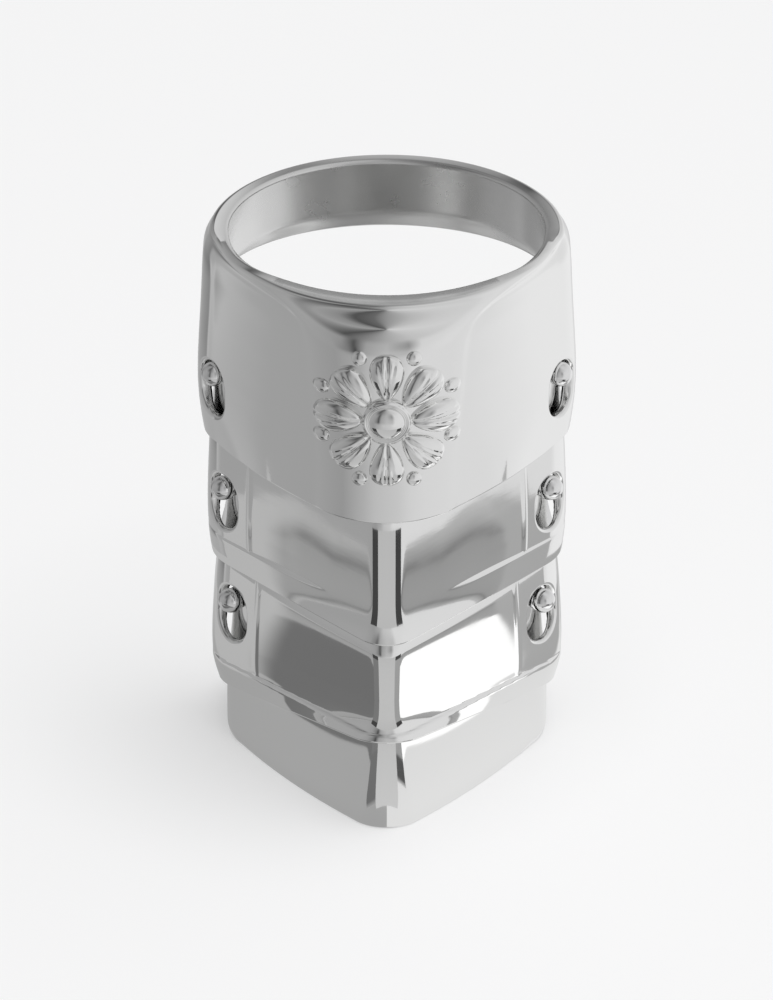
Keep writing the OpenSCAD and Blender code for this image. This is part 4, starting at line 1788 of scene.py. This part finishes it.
        # The stops paint the reflected table's light and shade, its dark gaps included.
        stops = [(where / CARD_REACH, (light, light, light)) for where, light in PAINTED_REFLECTION_CARD_STOPS[side]]
        ramp = make.ramp(share.outputs["Result"], stops)
        start, end, tone = CARD_BEHIND[side]
        behind = make.spread(parts["Y"], start * MM, end * MM, interpolation_type="SMOOTHSTEP")
        beyond = make.spread(parts["X"], *(side.value * far * MM for far in CARD_BEYOND))
        both = make.math("MULTIPLY", behind.outputs["Result"], beyond.outputs["Result"])
        tones = {"Factor": both, "A": ramp, "B": (tone, tone, tone, 1.0)}
        mix = make.add("ShaderNodeMix", tones, data_type="RGBA")
        make.feed(shader, "Emission Color", mix.outputs["Result"])
        return material

    def lamp(self) -> None:
        """Hang a wide soft lamp over the floor, which the metal doesn't mirror."""
        data = bpy.data.lights.new("overhead", "AREA")
        data.shape, data.size, data.energy = "DISK", LAMP_SIZE, LAMP_POWER
        obj = bpy.data.objects.new("overhead", data)
        bpy.context.scene.collection.objects.link(obj)
        obj.location = LAMP_AT
        obj.rotation_euler = LAMP_AT.to_track_quat("Z", "Y").to_euler()
        obj.visible_glossy = False

    def world(self) -> None:
        """Surround the ring with soft panels, given by direction."""
        world = bpy.data.worlds.new("studio")
        bpy.context.scene.world = world
        world.use_nodes = True
        make = Nodes(world.node_tree)
        way = make.add("ShaderNodeTexCoord").outputs["Generated"]
        x, y, z = make.add("ShaderNodeSeparateXYZ", {0: way}).outputs
        azimuth = make.math("ARCTAN2", x, make.math("MULTIPLY", y, -1.0))
        share = make.math("MULTIPLY_ADD", azimuth, 0.5 / math.pi, 0.5)
        height = make.math("MULTIPLY", make.math("ARCSINE", z), 180.0 / math.pi)
        mixed, below = None, None
        for level, stops in PANELS:
            panel = make.ramp(share, [
                ((turn + 180.0) / 360.0, (light, light, light * PANEL_COOL)) for turn, light in stops])
            if mixed is None:
                mixed, below = panel, level
                continue
            rise = make.spread(height, below, level, interpolation_type="SMOOTHSTEP")
            tones = {"Factor": rise.outputs["Result"], "A": mixed, "B": panel}
            mixed, below = make.add("ShaderNodeMix", tones, data_type="RGBA").outputs["Result"], level
        straight = make.add("ShaderNodeLightPath").outputs["Is Camera Ray"]
        tones = {"Factor": straight, "A": mixed, "B": (*BACKDROP, 1.0)}
        seen = make.add("ShaderNodeMix", tones, data_type="RGBA")
        make.feed(world.node_tree.nodes["Background"], "Color", seen.outputs["Result"])

    def build(self) -> None:
        """Make the whole studio."""
        bpy.context.scene.view_settings.view_transform = "Standard"
        self.camera()
        self.floor()
        for side in Side:
            self.card(side)
        self.fans()
        self.lamp()
        self.world()


# The ring


@dataclass
class Ring:
    """The whole ring."""

    def top(self) -> Top:
        """Sizes of the top plate."""
        return Top("top_plate", "plate_1", TOP_Z, 13.1, 0.0, 0.0, 0.22)

    def bells(self) -> list[Bell]:
        """Sizes of the three tucked plates."""
        tucks = [up + PIN_RISE + 2.2 for up in SLOT_UP]
        second = Bell(
            "second_plate", "plate_2", SECOND_Z, 8.3, tucks[0], 0.0, 0.3, SECOND_ROWS,
            bow=0.04, keel_curl=0.0)
        third = Bell(
            "third_plate", "plate_3", THIRD_Z, 9.1, tucks[1], 2.5, 0.3, THIRD_ROWS,
            width=21.7, keel_narrow=1.9, curl=0.45, keel_curl=0.0, bow=0.04)
        end = Bell(
            "end_plate", "plate_4", END_Z, 3.8, tucks[2], 0.0, 0.25, END_ROWS,
            width=19.9, keel=13.04, curl=0.22, keel_curl=0.22, lip_r=2.6, widest=BACK_SHIFT, bow=0.04,
            foot_bow=0.3, tuck_bow=0.0, shoulder=3.5, tuck_shoulder=2.3, step_up=2.5, back_band=3.4)
        for above, plate in ((second, third), (third, end)):
            inset = (plate.width - above.width) / 2 + WALL + PLATE_GAP
            plate.narrow = inset + TUCK_SHARE * above.narrow
        return [second, third, end]

    def places(self) -> list[PinPlace]:
        """Pin lines of the three joints, from the top down."""
        second, third, end = self.bells()
        outer = [
            (self.top().plan_at(TOP_FACE), PIN_TURN),
            (second.plan_at(BELL_FACE), PIN_TURN),
            (third.plan_at(BELL_FACE), END_PIN_TURN)]
        inner = [second.plan_at(BELL_TUCK), third.plan_at(BELL_TUCK), end.plan_at(END_TUCK)]
        out = []
        for (over, turn), under, z in zip(outer, inner, SLOT_Z):
            p, q = Plan.from_row(over).shoulder_point(turn), Plan.from_row(under).shoulder_point(turn)
            depth = float((p - q) @ out_dir(turn)) + WALL
            out.append(PinPlace(p, z + PIN_RISE, turn, depth))
        return out

    def build(self) -> list[bpy.types.Object]:
        """Make every piece of the ring."""
        silver, pin_silver = PLATE_SILVER.build(), PIN_SILVER.build()
        places = self.places()
        top, (second, third, end) = self.top(), self.bells()
        pieces = [
            top.build(places[0], SLOT_Z[0]),
            second.build(places[1], SLOT_Z[1], places[0], Relief(second, 0.06, 0.0, 1.7, 1.9, 11.0)),
            third.build(places[2], SLOT_Z[2], places[1], Relief(third, 0.13, 0.13, 1.8, 0.5, 10.8)),
            end.build(None, 0.0, places[2])]
        for obj in pieces:
            obj.data.materials.append(silver)
        pieces.append(Rosette().build(top.lattice(), silver))
        for k, base in enumerate(("second_pin", "third_pin", "end_pin")):
            for side in Side:
                pin = Pin(f"{base}_{side.name.lower()}", f"pins_{k + 1}", places[k], side).build()
                pin.data.materials.append(pin_silver)
                pieces.append(pin)
        for obj in pieces:
            LOG.info("%s: %d faces", obj.name, len(obj.data.polygons))
        return pieces


def main() -> None:
    """Build the studio and the ring."""
    logging.basicConfig(level=logging.INFO, format="%(message)s")
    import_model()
    Studio().build()
    Ring().build()


if __name__ == "__main__":
    main()
